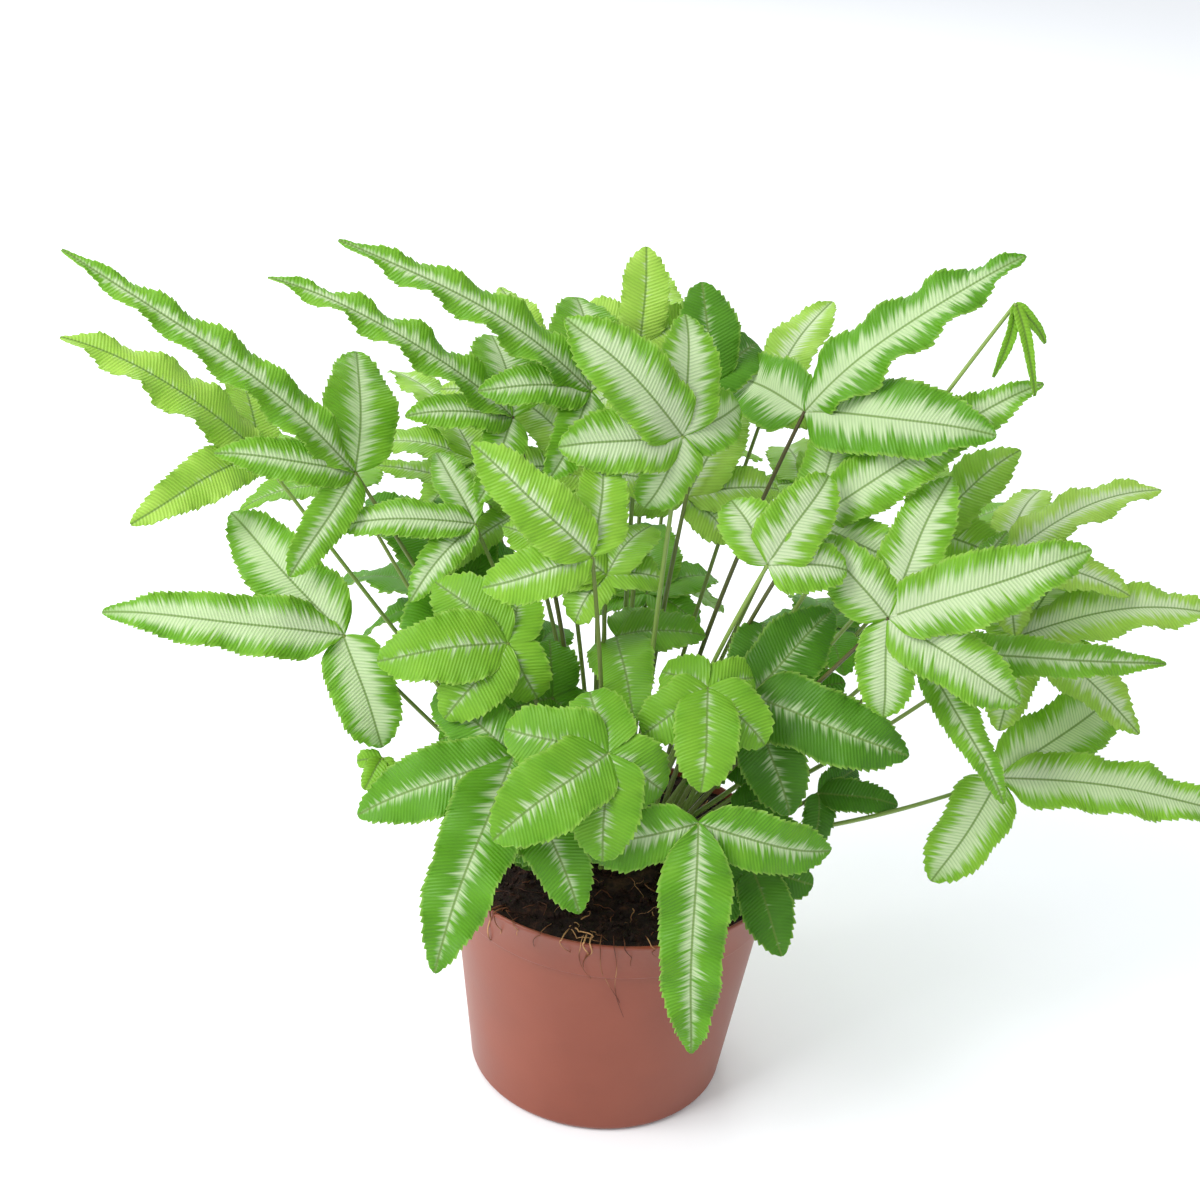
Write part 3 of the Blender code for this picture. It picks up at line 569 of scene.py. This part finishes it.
# Each frond: fork (x, y, z), then heading and pitch of its end leaflet in degrees, the leaflet's
# length and width, and how its leaflets spread. Chosen one by one, places to the nearest 5 mm.
FRONDS = {
    "front_hanging_frond": ((25, -60, 140), -80, -76, 78, 22, CROSS),
    "low_right_frond": ((130, 0, 130), 0, -4, 85, 20, WING_RIGHT),
    "low_left_frond": ((-95, -10, 170), 180, 0, 80, 20, WING_LEFT),
    "front_left_frond": ((-35, -45, 150), -115, -50, 72, 25, HAND),
    "tall_left_frond": ((-20, 10, 255), 180, 28, 92, 15, STREAMER),
    "tall_right_frond": ((50, 20, 250), 0, 42, 85, 22, WING_LEFT),
    "tall_centre_frond": ((10, -10, 250), 175, 42, 52, 23, HAND),
    "upper_right_frond": ((55, 0, 220), 5, 38, 85, 20, TRIDENT),
    "right_frond": ((80, -25, 200), 0, 25, 66, 23, HAND),
    "tall_inner_frond": ((-45, 20, 240), 180, 26, 90, 14, STREAMER),
    "upper_left_frond": ((-95, 10, 220), 180, 36, 115, 15, STREAMER),
    "far_left_frond": ((-130, 30, 215), 185, 30, 75, 19, TRIDENT),
    "far_right_frond": ((135, 30, 170), 5, 10, 70, 22, HAND),
    "centre_frond": ((-15, -40, 220), 165, 35, 50, 19, TRIDENT),
    "left_arching_frond": ((-55, 10, 205), 180, 4, 48, 14, TRIDENT),
    "centre_right_frond": ((40, -25, 215), 50, 40, 36, 20, TRIDENT),
    "front_centre_frond": ((-5, -55, 160), -150, -30, 45, 25, HAND),
    "right_shaded_frond": ((40, -20, 165), -10, -14, 55, 24, HAND),
    "right_narrow_frond": ((95, -10, 180), 0, 2, 80, 14, TRIDENT),
    "unrolling_frond": ((110, 10, 295), -20, -72, 30, 4, BUDS),
    "inner_right_frond": ((25, -35, 175), -90, -45, 34, 20, HAND),
    "left_narrow_frond": ((-40, 35, 200), 175, 10, 55, 14, TRIDENT),
    "left_shaded_frond": ((-55, 15, 180), 170, 22, 50, 24, HAND),
    "inner_frond": ((-5, 5, 170), -60, -10, 40, 20, HAND),
    "front_right_low_frond": ((45, -45, 115), -60, -40, 30, 16, TRIDENT),
    "front_low_frond": ((-15, -50, 135), -100, -35, 34, 22, HAND),
    "right_upright_frond": ((100, 35, 205), 10, 48, 40, 20, TRIDENT),
    "right_pale_frond": ((130, 50, 190), 15, 25, 60, 20, HAND),
    "back_tip_frond": ((-5, 45, 260), 90, 70, 32, 16, TRIDENT),
    "back_dark_frond": ((20, 40, 250), 110, 45, 34, 20, TRIDENT),
    "young_left_frond": ((-80, -20, 130), -120, -40, 12, 7, TRIDENT),
    "inner_left_frond": ((-40, -25, 180), -170, -8, 42, 22, HAND),
    "inner_upper_frond": ((-15, 25, 220), 150, 25, 44, 20, HAND),
    "inner_back_frond": ((15, 35, 210), 60, 30, 44, 20, HAND),
    "inner_shaded_frond": ((-25, -5, 150), -150, -10, 42, 22, HAND),
    "crown_left_frond": ((-25, 5, 125), 160, 10, 36, 20, TRIDENT),
    "crown_right_frond": ((30, 10, 130), 20, 10, 38, 20, HAND),
    "soil_left_frond": ((-30, -20, 110), -130, -5, 24, 16, TRIDENT),
    "soil_middle_frond": ((0, -20, 115), -90, -15, 24, 16, TRIDENT),
    "soil_right_frond": ((40, -15, 115), -30, -5, 28, 17, TRIDENT),
    "drooping_small_frond": ((70, 5, 115), -5, -25, 28, 12, TRIDENT),
    "rear_tall_frond": ((0, 75, 235), 90, 25, 60, 20, HAND),
    "rear_left_frond": ((-60, 75, 200), 130, 15, 60, 22, HAND),
    "rear_right_frond": ((60, 80, 200), 50, 15, 60, 22, HAND),
    "rear_low_left_frond": ((-65, 60, 150), 150, -5, 55, 22, HAND),
    "rear_low_right_frond": ((70, 65, 150), 40, -5, 55, 22, HAND),
    "rear_drooping_frond": ((0, 95, 150), 90, -35, 65, 22, CROSS),
    "rear_upper_left_frond": ((-35, 65, 225), 120, 35, 55, 20, TRIDENT),
    "rear_upper_right_frond": ((40, 65, 230), 60, 35, 55, 20, TRIDENT),
    "rear_outer_left_frond": ((-105, 75, 185), 150, 5, 60, 20, TRIDENT),
    "rear_outer_right_frond": ((110, 80, 180), 30, 5, 60, 20, TRIDENT),
    "rear_spreading_frond": ((10, 110, 190), 85, 5, 60, 22, HAND),
    "heart_left_frond": ((-35, 25, 150), 170, 0, 42, 22, HAND),
    "heart_right_frond": ((35, -5, 145), -20, -5, 42, 22, HAND),
    "heart_back_frond": ((5, 50, 165), 90, 10, 44, 22, HAND),
    "heart_upper_frond": ((-10, 0, 195), 120, 15, 38, 20, HAND),
}

# Small turns (swing, rise) tried in this order until a leaflet clears its neighbours.
TURNS = [(0, 0)] + [
    (side * swing, rise)
    for swing, lift in ((0, 5), (6, 0), (6, 5), (0, 10), (12, 0), (12, 8), (0, 16), (18, 0),
                        (18, 12), (0, 24), (28, 0), (28, 16), (40, 0), (40, 20), (56, 20), (70, 30))
    for side in (1, -1)
    for rise in sorted({lift, -lift})
]

# Moves of a stalk's foot (degrees round the crown, mm outward) tried until it clears the others.
FOOT_MOVES = [(0, 0)] + [
    (side * step, shift)
    for step in range(5, 125, 5)
    for shift in (0, 5, 10, -4)
    for side in (1, -1)
]


def stalk_curve(fork, step, shift, count):
    """A quadratic curve in mm from the crown to the fork, on a short upright root.

    A stalk that has to reach far sideways starts flatter than one that has to climb.
    """
    fork = np.array(fork, float)
    reach = math.hypot(fork[0], fork[1])
    around = math.atan2(fork[1], fork[0]) + math.radians(step)
    outward = np.array([math.cos(around), math.sin(around), 0.0])
    share = min(reach / STALK_REACH, 1.0)
    spread = STALK_INNER_BASE + (STALK_OUTER_BASE - STALK_INNER_BASE) * share + shift
    foot = outward * min(max(spread, STALK_RADIUS), STALK_OUTER_BASE)
    foot[2] = CROWN_TOP + GAP + STALK_ROOT
    rise = np.array([0.0, 0.0, fork[2] - foot[2]])
    run = fork - foot - rise
    lift = rise[2] / (rise[2] + reach)
    knee = foot + STALK_BEND * ((1.0 - lift) * run + lift * rise)
    along = np.linspace(0.0, 1.0, count)[:, None]
    bend = (1 - along) ** 2 * foot + 2 * along * (1 - along) * knee + along ** 2 * fork
    return np.vstack([foot - [0.0, 0.0, STALK_ROOT], bend])


def blade_half_width(along, length, width):
    """Half width from neck to tip: opens quickly from the stalk and tapers to a point."""
    taper = 1.8 + 5.0 * width / length
    outline = (1.0 - np.exp(-along / 0.07)) * (1.0 - along ** taper) ** 0.8 / 0.95
    ends = BLADE_NECK * (1.0 - along) ** 8 + 0.5 * BLADE_TIP * along ** 8
    return 0.5 * width * outline + ends


def frond_axes(fork, heading, pitch):
    """Direction of the end leaflet and upper face of the fan; front fans face more forward."""
    heading = math.radians(heading)
    pitch = math.radians(pitch)
    lean = math.radians(np.clip(FACE_LEAN - FACE_LEAN_PER_MM * fork[1], *FACE_LEAN_LIMITS))
    ahead = np.array([
        math.cos(pitch) * math.cos(heading),
        math.cos(pitch) * math.sin(heading),
        math.sin(pitch),
    ])
    face = np.array([0.0, -math.sin(lean), math.cos(lean)])
    face -= (face @ ahead) * ahead
    return ahead, face / np.linalg.norm(face)


def blade_frame(frond, leaflet, turn):
    """Unit vectors along the leaflet, out of its upper face and across it, in that order.

    The further a leaflet swings from the end leaflet, the more it droops out of the fan.
    """
    end, fan_face = frond_axes(*frond[:3])
    droop = SIDE_DROOP * math.sin(math.radians(abs(leaflet[0]) / 2))
    swing = math.radians(leaflet[0] + turn[0])
    rise = math.radians(turn[1] - droop)
    flat = math.cos(swing) * end + math.sin(swing) * np.cross(end, fan_face)
    ahead = math.cos(rise) * flat + math.sin(rise) * fan_face
    face = math.cos(rise) * fan_face - math.sin(rise) * flat
    return ahead, face, np.cross(ahead, face)


def blade_grid(frond, leaflet, turn):
    """Midrib and two edges of one leaflet as a (rows + 1, 3, xyz) array, as in the solids."""
    length = frond[3] * leaflet[1]
    width = frond[4] * leaflet[2]
    ahead, face, side = blade_frame(frond, leaflet, turn)
    rows = max(BLADE_MIN_ROWS, round(length / BLADE_ROW_LENGTH))
    along = np.linspace(0.0, 1.0, rows + 1)[:, None] ** 1.2
    arch = 4.0 * BLADE_BOW * along * (1.0 - along)
    midrib = np.array(frond[0]) + length * (along * ahead + arch * face)
    half = blade_half_width(along, length, width)
    across = np.array([-1.0, 0.0, 1.0])[None, :, None]
    grid = midrib[:, None, :] + half[:, None] * (across * side + BLADE_FOLD * np.abs(across) * face)
    return grid, face


class Taken:
    """A space already filled: its box and its surface tree, in mm."""

    def __init__(self, owner, points, faces):
        self.owner = owner
        self.low = points.min(axis=0)
        self.high = points.max(axis=0)
        self.tree = BVHTree.FromPolygons([tuple(p) for p in points], faces)

    def meets(self, other):
        apart = (self.low > other.high).any() or (other.low > self.high).any()
        return not apart and bool(self.tree.overlap(other.tree))


def rim_loop(rows, columns):
    """The boundary of a grid in the order of its faces' own turning direction."""
    first = np.arange(columns)
    right = np.arange(1, rows) * columns + columns - 1
    last = (rows - 1) * columns + np.arange(columns - 2, -1, -1)
    left = np.arange(rows - 2, 0, -1) * columns
    return np.concatenate([first, right, last, left])


def sheet_faces(rows, columns):
    """Faces of a thin closed sheet: upper grid, lower grid after it, and the rim between."""
    count = rows * columns
    upper = grid_quads(rows, columns)
    edge = rim_loop(rows, columns)
    after = np.roll(edge, -1)
    rim = np.column_stack([after, edge, edge + count, after + count])
    return np.vstack([upper, upper[:, ::-1] + count, rim])


def blade_space(owner, grid, face):
    """The leaflet with a margin on both faces, as a closed skin."""
    skin = np.concatenate([grid + BLADE_MARGIN * face, grid - BLADE_MARGIN * face]).reshape(-1, 3)
    return Taken(owner, skin, sheet_faces(*grid.shape[:2]).tolist())


def tube_space(owner, path, radius):
    """A square tube around a stalk, in mm, ending a little past the fork."""
    ahead = np.gradient(path, axis=0)
    ahead /= np.linalg.norm(ahead, axis=1, keepdims=True)
    path = np.vstack([path, path[-1] + FORK_RADIUS * ahead[-1]])
    ahead = np.vstack([ahead, ahead[-1]])
    outward = np.array([path[-1, 0], path[-1, 1], 0.0]) / math.hypot(path[-1, 0], path[-1, 1])
    side = np.cross(ahead, np.cross([0.0, 0.0, 1.0], outward))
    side /= np.linalg.norm(side, axis=1, keepdims=True)
    over = np.cross(side, ahead)
    corners = [side + over, over - side, -side - over, side - over]
    points = (path[:, None, :] + radius * np.stack(corners, axis=1)).reshape(-1, 3)
    return Taken(owner, points, grid_quads(len(path), 4, wrap=True).tolist())


def pot_space():
    """The rim and the soil surface, which no leaflet may cut."""
    turn = np.linspace(0.0, 2 * math.pi, 24, endpoint=False)
    rings = np.array([
        (BASE_RADIUS, 0.0), (RIM_RADIUS + 1.0, body_top), (RIM_RADIUS + 1.0, POT_HEIGHT + 1.0),
        (RIM_RADIUS - 3.0, SOLID_SOIL_TOP + 0.5), (CROWN_RADIUS, CROWN_TOP + 0.5),
        (0.5, CROWN_TOP + 0.5)])
    points = np.stack([
        rings[:, :1] * np.cos(turn),
        rings[:, :1] * np.sin(turn),
        np.repeat(rings[:, 1:], len(turn), axis=1),
    ], axis=-1)
    return Taken("pot", points.reshape(-1, 3), grid_quads(len(rings), 24, wrap=True).tolist())


# A foot moves on the crown and a leaflet turns until it is clear; one with no room didn't grow.
taken = [pot_space()]
feet = {}
for name, frond in FRONDS.items():
    for move in FOOT_MOVES:
        space = tube_space(name, stalk_curve(frond[0], *move, STALK_POINTS), 1.5 * STALK_RADIUS)
        if not any(space.meets(other) for other in taken[1:]):
            break
    taken.append(space)
    feet[name] = move
grown = {name: [] for name in FRONDS}
for name, frond in FRONDS.items():
    for leaflet in frond[5]:
        for turn in TURNS:
            space = blade_space(name, *blade_grid(frond, leaflet, turn))
            if not any(other.owner != name and space.meets(other) for other in taken):
                taken.append(space)
                grown[name].append((leaflet, turn))
                break

# A leaflet's fine surface: a row every 0.6 mm, so that a tooth has four, and closer columns
# where the midrib and the toothed margin are.
ROW_STEP = 0.6
TOOTH_PITCH = 2.0
TOOTH_HEIGHT = 1.0
SHEET_THICKNESS = 0.34
VEIN_SLANT = 0.42
WAVE_LENGTH = 21.0
COLUMNS = np.array([-1.0, -0.93, -0.8, -0.62, -0.4, -0.18, -0.05, 0.05, 0.18, 0.4, 0.62, 0.8, 0.93, 1.0])

# Leaf colouring of a frond where it isn't the rule: (green, 0 dark and old to 1 pale and young, the
# dark also painted shade on low and inner fronds; whiteness of the band 0 to 1; stalk brownness 0 to 1).
COLOURING = {
    "far_left_frond": (0.95, 0.25, 0.1),
    "tall_left_frond": (0.55, 0.75, 0.35),
    "upper_left_frond": (0.6, 0.75, 0.5),
    "tall_inner_frond": (0.6, 0.75, 0.9),
    "tall_centre_frond": (0.6, 1.0, 0.1),
    "back_tip_frond": (0.95, 0.3, 0.2),
    "back_dark_frond": (0.25, 0.35, 0.6),
    "tall_right_frond": (0.4, 0.9, 0.9),
    "upper_right_frond": (0.6, 0.95, 0.8),
    "centre_frond": (0.75, 0.55, 0.5),
    "centre_right_frond": (0.65, 0.95, 0.1),
    "low_left_frond": (0.55, 1.0, 0.3),
    "right_frond": (0.6, 1.0, 0.9),
    "right_narrow_frond": (0.6, 0.7, 0.5),
    "low_right_frond": (0.7, 1.0, 0.1),
    "far_right_frond": (0.9, 0.9, 0.2),
    "right_pale_frond": (0.95, 0.8, 0.2),
    "right_upright_frond": (0.8, 0.5, 0.2),
    "front_hanging_frond": (0.45, 0.6, 0.2),
    "front_left_frond": (0.4, 0.5, 0.3),
    "left_arching_frond": (0.6, 0.95, 0.3),
    "front_centre_frond": (0.55, 0.45, 0.1),
    "right_shaded_frond": (0.2, 0.45, 0.7),
    "left_shaded_frond": (0.35, 0.3, 0.5),
    "unrolling_frond": (0.7, 0.0, 0.1),
    "young_left_frond": (0.75, 0.1, 0.1),
}


def blade_surface(frond, leaflet, turn, seed):
    """The toothed, wavy sheet of one leaflet, as rows along the midrib by columns across it.

    Across: the outline's half width, plus a saw tooth that grows over each pitch and points to
    the tip. Out of the face: a shallow V fold, a wave along each margin that dies out towards
    the midrib, and a groove over the midrib."""
    length = frond[3] * leaflet[1]
    width = frond[4] * leaflet[2]
    ahead, face, side = blade_frame(frond, leaflet, turn)
    dice = np.random.default_rng(seed)
    phase = dice.uniform(0.0, 2 * math.pi, 6)
    rows = max(16, int(length / ROW_STEP))
    along = np.linspace(0.0, 1.0, rows + 1)[:, None]
    share = COLUMNS[None, :]
    distance = along * length
    half = blade_half_width(along, length, width)
    half = half * (1.0 + 0.05 * np.sin(distance / 5.3 + phase[0]) + 0.03 * np.sin(distance / 2.9 + phase[1]))
    room = np.clip(half / 5.0, 0.0, 1.0)
    margin = np.abs(share) ** 7
    pitch = TOOTH_PITCH * (0.8 + 0.4 * min(width / 25.0, 1.0))
    tooth = np.mod((distance + 0.25 * np.sin(distance * 1.7 + phase[2])) / pitch + 0.5 * (share > 0), 1.0)
    bite = TOOTH_HEIGHT * room * margin
    across = half * share + np.sign(share) * bite * (tooth - 0.55)
    slant = 0.9 * bite * tooth
    crisp = 0.9 + 2.3 * np.clip((length - 45.0) / 45.0, 0.0, 1.0)
    wave = 2 * math.pi * distance / WAVE_LENGTH + 1.2 * (share > 0)
    rise = crisp * room * share ** 2 * np.sin(wave + phase[3])
    rise = rise + 0.45 * room * margin * np.sin(2 * math.pi * distance / 5.1 + phase[4] + 2.0 * (share > 0))
    rise = rise + BLADE_FOLD * np.abs(share) * half - 0.28 * np.exp(-(across / 0.8) ** 2)
    rise = rise - 0.1 * half * share ** 4
    sway = 0.018 * length * np.sin(math.pi * along * 1.6 + phase[5]) * along
    arch = 4.0 * BLADE_BOW * along * (1.0 - along)
    midrib = np.array(frond[0]) + length * (along * ahead + arch * face)
    sheet = (midrib[:, None, :] + slant[..., None] * ahead + (across + sway)[..., None] * side
             + rise[..., None] * face)
    down_rows = np.gradient(sheet, axis=0)
    over_columns = np.gradient(sheet, axis=1)
    normal = np.cross(over_columns, down_rows)
    normal /= np.linalg.norm(normal, axis=2, keepdims=True)
    offset = 0.5 * SHEET_THICKNESS * normal
    ones = np.ones_like(across)
    facts = {
        "share": share * ones,
        "across": across,
        "vein": distance - VEIN_SLANT * np.abs(across),
        "along": along * ones,
        "seed": ones * dice.uniform(0.0, 1.0),
    }
    return sheet + offset, sheet - offset, facts


leaf, tree, output = new_material("variegated_fern_leaf")
place = add_node(tree, "ShaderNodeTexCoord")
share = add_node(tree, "ShaderNodeAttribute", attribute_name="share")
across = add_node(tree, "ShaderNodeAttribute", attribute_name="across")
vein = add_node(tree, "ShaderNodeAttribute", attribute_name="vein")
along = add_node(tree, "ShaderNodeAttribute", attribute_name="along")
depth = add_node(tree, "ShaderNodeAttribute", attribute_name="depth")
band = add_node(tree, "ShaderNodeAttribute", attribute_name="band")
seed = add_node(tree, "ShaderNodeAttribute", attribute_name="seed")
under = add_node(tree, "ShaderNodeAttribute", attribute_name="under")
reach_out = add_node(tree, "ShaderNodeMath", {0: (share, "Fac"), 1: 0.0}, operation="ABSOLUTE")
from_midrib = add_node(tree, "ShaderNodeMath", {0: (across, "Fac"), 1: 0.0}, operation="ABSOLUTE")
# Every vein carries the white out to its own distance, so the band's edge is feathered.
VEIN_SPACING = 1.15
vein_count = add_node(tree, "ShaderNodeMath", {0: (vein, "Fac"), 1: 1.0 / VEIN_SPACING},
                      operation="MULTIPLY")
side_shift = add_node(tree, "ShaderNodeMath", {0: (share, "Fac"), 1: 0.0}, operation="GREATER_THAN")
vein_seed = add_node(tree, "ShaderNodeCombineXYZ", {
    "X": (vein_count, "Value"), "Y": (side_shift, "Value"), "Z": (seed, "Fac")})
spread_seed = add_node(tree, "ShaderNodeVectorMath", {0: (vein_seed, "Vector"), 1: (1.0, 17.0, 91.0)},
                       operation="MULTIPLY")
vein_noise = add_node(tree, "ShaderNodeTexNoise", {
    "Vector": (spread_seed, "Vector"), "Scale": 1.0, "Detail": 2.0, "Roughness": 0.6})
feather = add_node(tree, "ShaderNodeMapRange", {
    "Value": (vein_noise, "Fac"), "From Min": 0.3, "From Max": 0.7, "To Min": -0.3, "To Max": 0.3})
band_reach = add_node(tree, "ShaderNodeMapRange", {"Value": (band, "Fac"), "To Min": -0.25, "To Max": 0.58})
edge_place = add_node(tree, "ShaderNodeMath", {0: (band_reach, "Result"), 1: (feather, "Result")},
                      operation="ADD")
inside_band = add_node(tree, "ShaderNodeMath", {0: (edge_place, "Value"), 1: (reach_out, "Value")},
                       operation="SUBTRACT")
band_mask = add_node(tree, "ShaderNodeMapRange", {
    "Value": (inside_band, "Value"), "From Min": -0.16, "From Max": 0.26}, interpolation_type="SMOOTHSTEP")
tip_fade = add_node(tree, "ShaderNodeMapRange", {
    "Value": (along, "Fac"), "From Min": 0.8, "From Max": 1.0, "To Min": 1.0, "To Max": 0.35})
white_share = add_node(tree, "ShaderNodeMath", {0: (band_mask, "Result"), 1: (tip_fade, "Result")},
                       operation="MULTIPLY")
# Veins stand a little darker than the tissue between them.
vein_angle = add_node(tree, "ShaderNodeMath", {0: (vein_count, "Value"), 1: 2 * math.pi},
                      operation="MULTIPLY")
vein_wave = add_node(tree, "ShaderNodeMath", {0: (vein_angle, "Value"), 1: 0.0}, operation="SINE")
vein_line = add_node(tree, "ShaderNodeMapRange", {
    "Value": (vein_wave, "Value"), "From Min": 0.1, "From Max": 1.0}, interpolation_type="SMOOTHSTEP")
mottle = add_node(tree, "ShaderNodeTexNoise", {"Vector": (place, "Object"), "Scale": 90.0, "Detail": 3.0})
# Leaf green from dark to pale by the frond's value: older fronds are darker green, and the dark of low and
# inner fronds is also painted shade.
green_age_and_shade = add_node(tree, "ShaderNodeMath", {0: (mottle, "Fac"), 1: 0.35}, operation="MULTIPLY")
green_age_and_shade = add_node(tree, "ShaderNodeMath", {0: (green_age_and_shade, "Value"), 1: (depth, "Fac")},
                       operation="ADD")
green_age_and_shade = add_node(tree, "ShaderNodeMath", {0: (green_age_and_shade, "Value"), 1: 0.17},
                       operation="SUBTRACT", use_clamp=True)
green = add_node(tree, "ShaderNodeValToRGB", {"Fac": (green_age_and_shade, "Value")})
for stop, (position, code) in enumerate([
        (0.0, "37700a"), (0.45, "66a71a"), (0.75, "8cc230"), (1.0, "b4d85a")]):
    ramp = green.color_ramp
    mark = ramp.elements[stop] if stop < 2 else ramp.elements.new(position)
    mark.position = position
    mark.color = linear(code)
# The white band is greyer on darker fronds: partly older tissue, partly painted shade.
white = add_node(tree, "ShaderNodeMix", {
    "Factor": (depth, "Fac"), "A": linear("b9d39a"), "B": linear("dfe9c6")}, data_type="RGBA")
veined_white = add_node(tree, "ShaderNodeMix", {
    "Factor": (vein_line, "Result"), "A": (white, "Result"), "B": linear("c6dbad")}, data_type="RGBA")
banded = add_node(tree, "ShaderNodeMix", {
    "Factor": (white_share, "Value"), "A": (green, "Color"), "B": (veined_white, "Result")},
    data_type="RGBA")
line_shade = add_node(tree, "ShaderNodeMath", {0: (vein_line, "Result"), 1: 0.14}, operation="MULTIPLY")
lined = add_node(tree, "ShaderNodeMix", {
    "Factor": (line_shade, "Value"), "A": (banded, "Result"), "B": linear("2f5a10")}, data_type="RGBA")
midrib_line = add_node(tree, "ShaderNodeMapRange", {
    "Value": (from_midrib, "Value"), "From Min": 0.55, "From Max": 0.2, "To Min": 0.0, "To Max": 0.8},
    interpolation_type="SMOOTHSTEP")
ribbed = add_node(tree, "ShaderNodeMix", {
    "Factor": (midrib_line, "Result"), "A": (lined, "Result"), "B": linear("6d8f35")}, data_type="RGBA")
margin_line = add_node(tree, "ShaderNodeMapRange", {
    "Value": (reach_out, "Value"), "From Min": 0.9, "From Max": 1.0, "To Min": 0.0, "To Max": 0.55})
edged = add_node(tree, "ShaderNodeMix", {
    "Factor": (margin_line, "Result"), "A": (ribbed, "Result"), "B": linear("a9cc5c")}, data_type="RGBA")
under_share = add_node(tree, "ShaderNodeMath", {0: (under, "Fac"), 1: 0.6}, operation="MULTIPLY")
leaf_colour = add_node(tree, "ShaderNodeMix", {
    "Factor": (under_share, "Value"), "A": (edged, "Result"), "B": linear("a3c96a")}, data_type="RGBA")
ridge = add_node(tree, "ShaderNodeBump", {
    "Height": (vein_wave, "Value"), "Strength": 0.35, "Distance": 0.00025})
ridge = add_node(tree, "ShaderNodeBump", {
    "Height": (mottle, "Fac"), "Strength": 0.25, "Distance": 0.0012, "Normal": (ridge, "Normal")})
sheen = add_node(tree, "ShaderNodeMapRange", {
    "Value": (mottle, "Fac"), "From Min": 0.3, "From Max": 0.7, "To Min": 0.42, "To Max": 0.56})
gloss = add_node(tree, "ShaderNodeBsdfPrincipled", {
    "Base Color": (leaf_colour, "Result"), "Roughness": (sheen, "Result"), "Specular IOR Level": 0.4,
    "Normal": (ridge, "Normal")})
glow_colour = add_node(tree, "ShaderNodeMix", {
    "Factor": 1.0, "A": (leaf_colour, "Result"), "B": linear("f4ffc0")},
    data_type="RGBA", blend_type="MULTIPLY")
glow = add_node(tree, "ShaderNodeBsdfTranslucent", {"Color": (glow_colour, "Result")})
blend = add_node(tree, "ShaderNodeMixShader", {0: 0.38, 1: (gloss, "BSDF"), 2: (glow, "BSDF")})
tree.links.new(blend.outputs[0], output.inputs["Surface"])

stalk_skin, tree, output = new_material("smooth_wiry_stalk")
brown = add_node(tree, "ShaderNodeAttribute", attribute_name="brown")
up = add_node(tree, "ShaderNodeAttribute", attribute_name="along")
brown_up = add_node(tree, "ShaderNodeMath", {0: (up, "Fac"), 1: 0.55}, operation="MULTIPLY")
brown_up = add_node(tree, "ShaderNodeMath", {0: (brown_up, "Value"), 1: 0.45}, operation="ADD")
brown_share = add_node(tree, "ShaderNodeMath", {0: (brown_up, "Value"), 1: (brown, "Fac")},
                       operation="MULTIPLY")
stalk_colour = add_node(tree, "ShaderNodeMix", {
    "Factor": (brown_share, "Value"), "A": linear("7f9a45"), "B": linear("3b2114")}, data_type="RGBA")
surface = add_node(tree, "ShaderNodeBsdfPrincipled", {
    "Base Color": (stalk_colour, "Result"), "Roughness": 0.38, "Specular IOR Level": 0.45})
tree.links.new(surface.outputs[0], output.inputs["Surface"])

STALK_RINGS = 26
STALK_SIDES = 8
for index, (name, frond_row) in enumerate(FRONDS.items()):
    # Higher leaves are younger: paler, with more white. The darker green of lower leaves is also painted
    # shade.
    height = frond_row[0][2]
    rule = (
        np.clip((height - 95.0) / 130.0, 0.1, 0.9),
        np.clip((height - 130.0) / 130.0, 0.15, 0.8),
        0.4,
    )
    depth, band, brown = COLOURING.get(name, rule)
    path = stalk_curve(frond_row[0], *feet[name], STALK_RINGS)
    radii = STALK_RADIUS * np.linspace(1.25, 0.85, len(path))
    points, faces = tubes(path[None], radii[None], STALK_SIDES)
    up = np.repeat(np.linspace(0.0, 1.0, len(path)), STALK_SIDES)
    columns = {key: [up * 0] for key in ("share", "across", "vein", "seed", "under")}
    columns["along"] = [up]
    parts, skins, total = [points], [1] * len(faces), len(points)
    for number, (leaflet, turn) in enumerate(grown[name]):
        upper, lower, facts = blade_surface(frond_row, leaflet, turn, 100 * index + number)
        rows, across_count = upper.shape[:2]
        blade_faces = sheet_faces(rows, across_count) + total
        faces += blade_faces.tolist()
        skins += [0] * len(blade_faces)
        parts += [upper.reshape(-1, 3), lower.reshape(-1, 3)]
        for key, value in facts.items():
            columns[key] += [value.ravel(), value.ravel()]
        columns["under"] += [np.zeros(upper.shape[0] * across_count), np.ones(upper.shape[0] * across_count)]
        total += 2 * rows * across_count
    frond = mesh_object(name + "_foliage", np.vstack(parts), faces, [leaf, stalk_skin], skins, sharp=60.0)
    for key, value in columns.items():
        frond.data.attributes.new(key, "FLOAT", "POINT").data.foreach_set("value", np.concatenate(value))
    # The per-frond green value holds real age tone and painted shade on low and inner fronds.
    for key, value in {"depth": depth, "band": band, "brown": brown}.items():
        frond.data.attributes.new(key, "FLOAT", "POINT").data.foreach_set("value", np.full(total, value))
    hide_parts(name)
    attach(frond, "root")
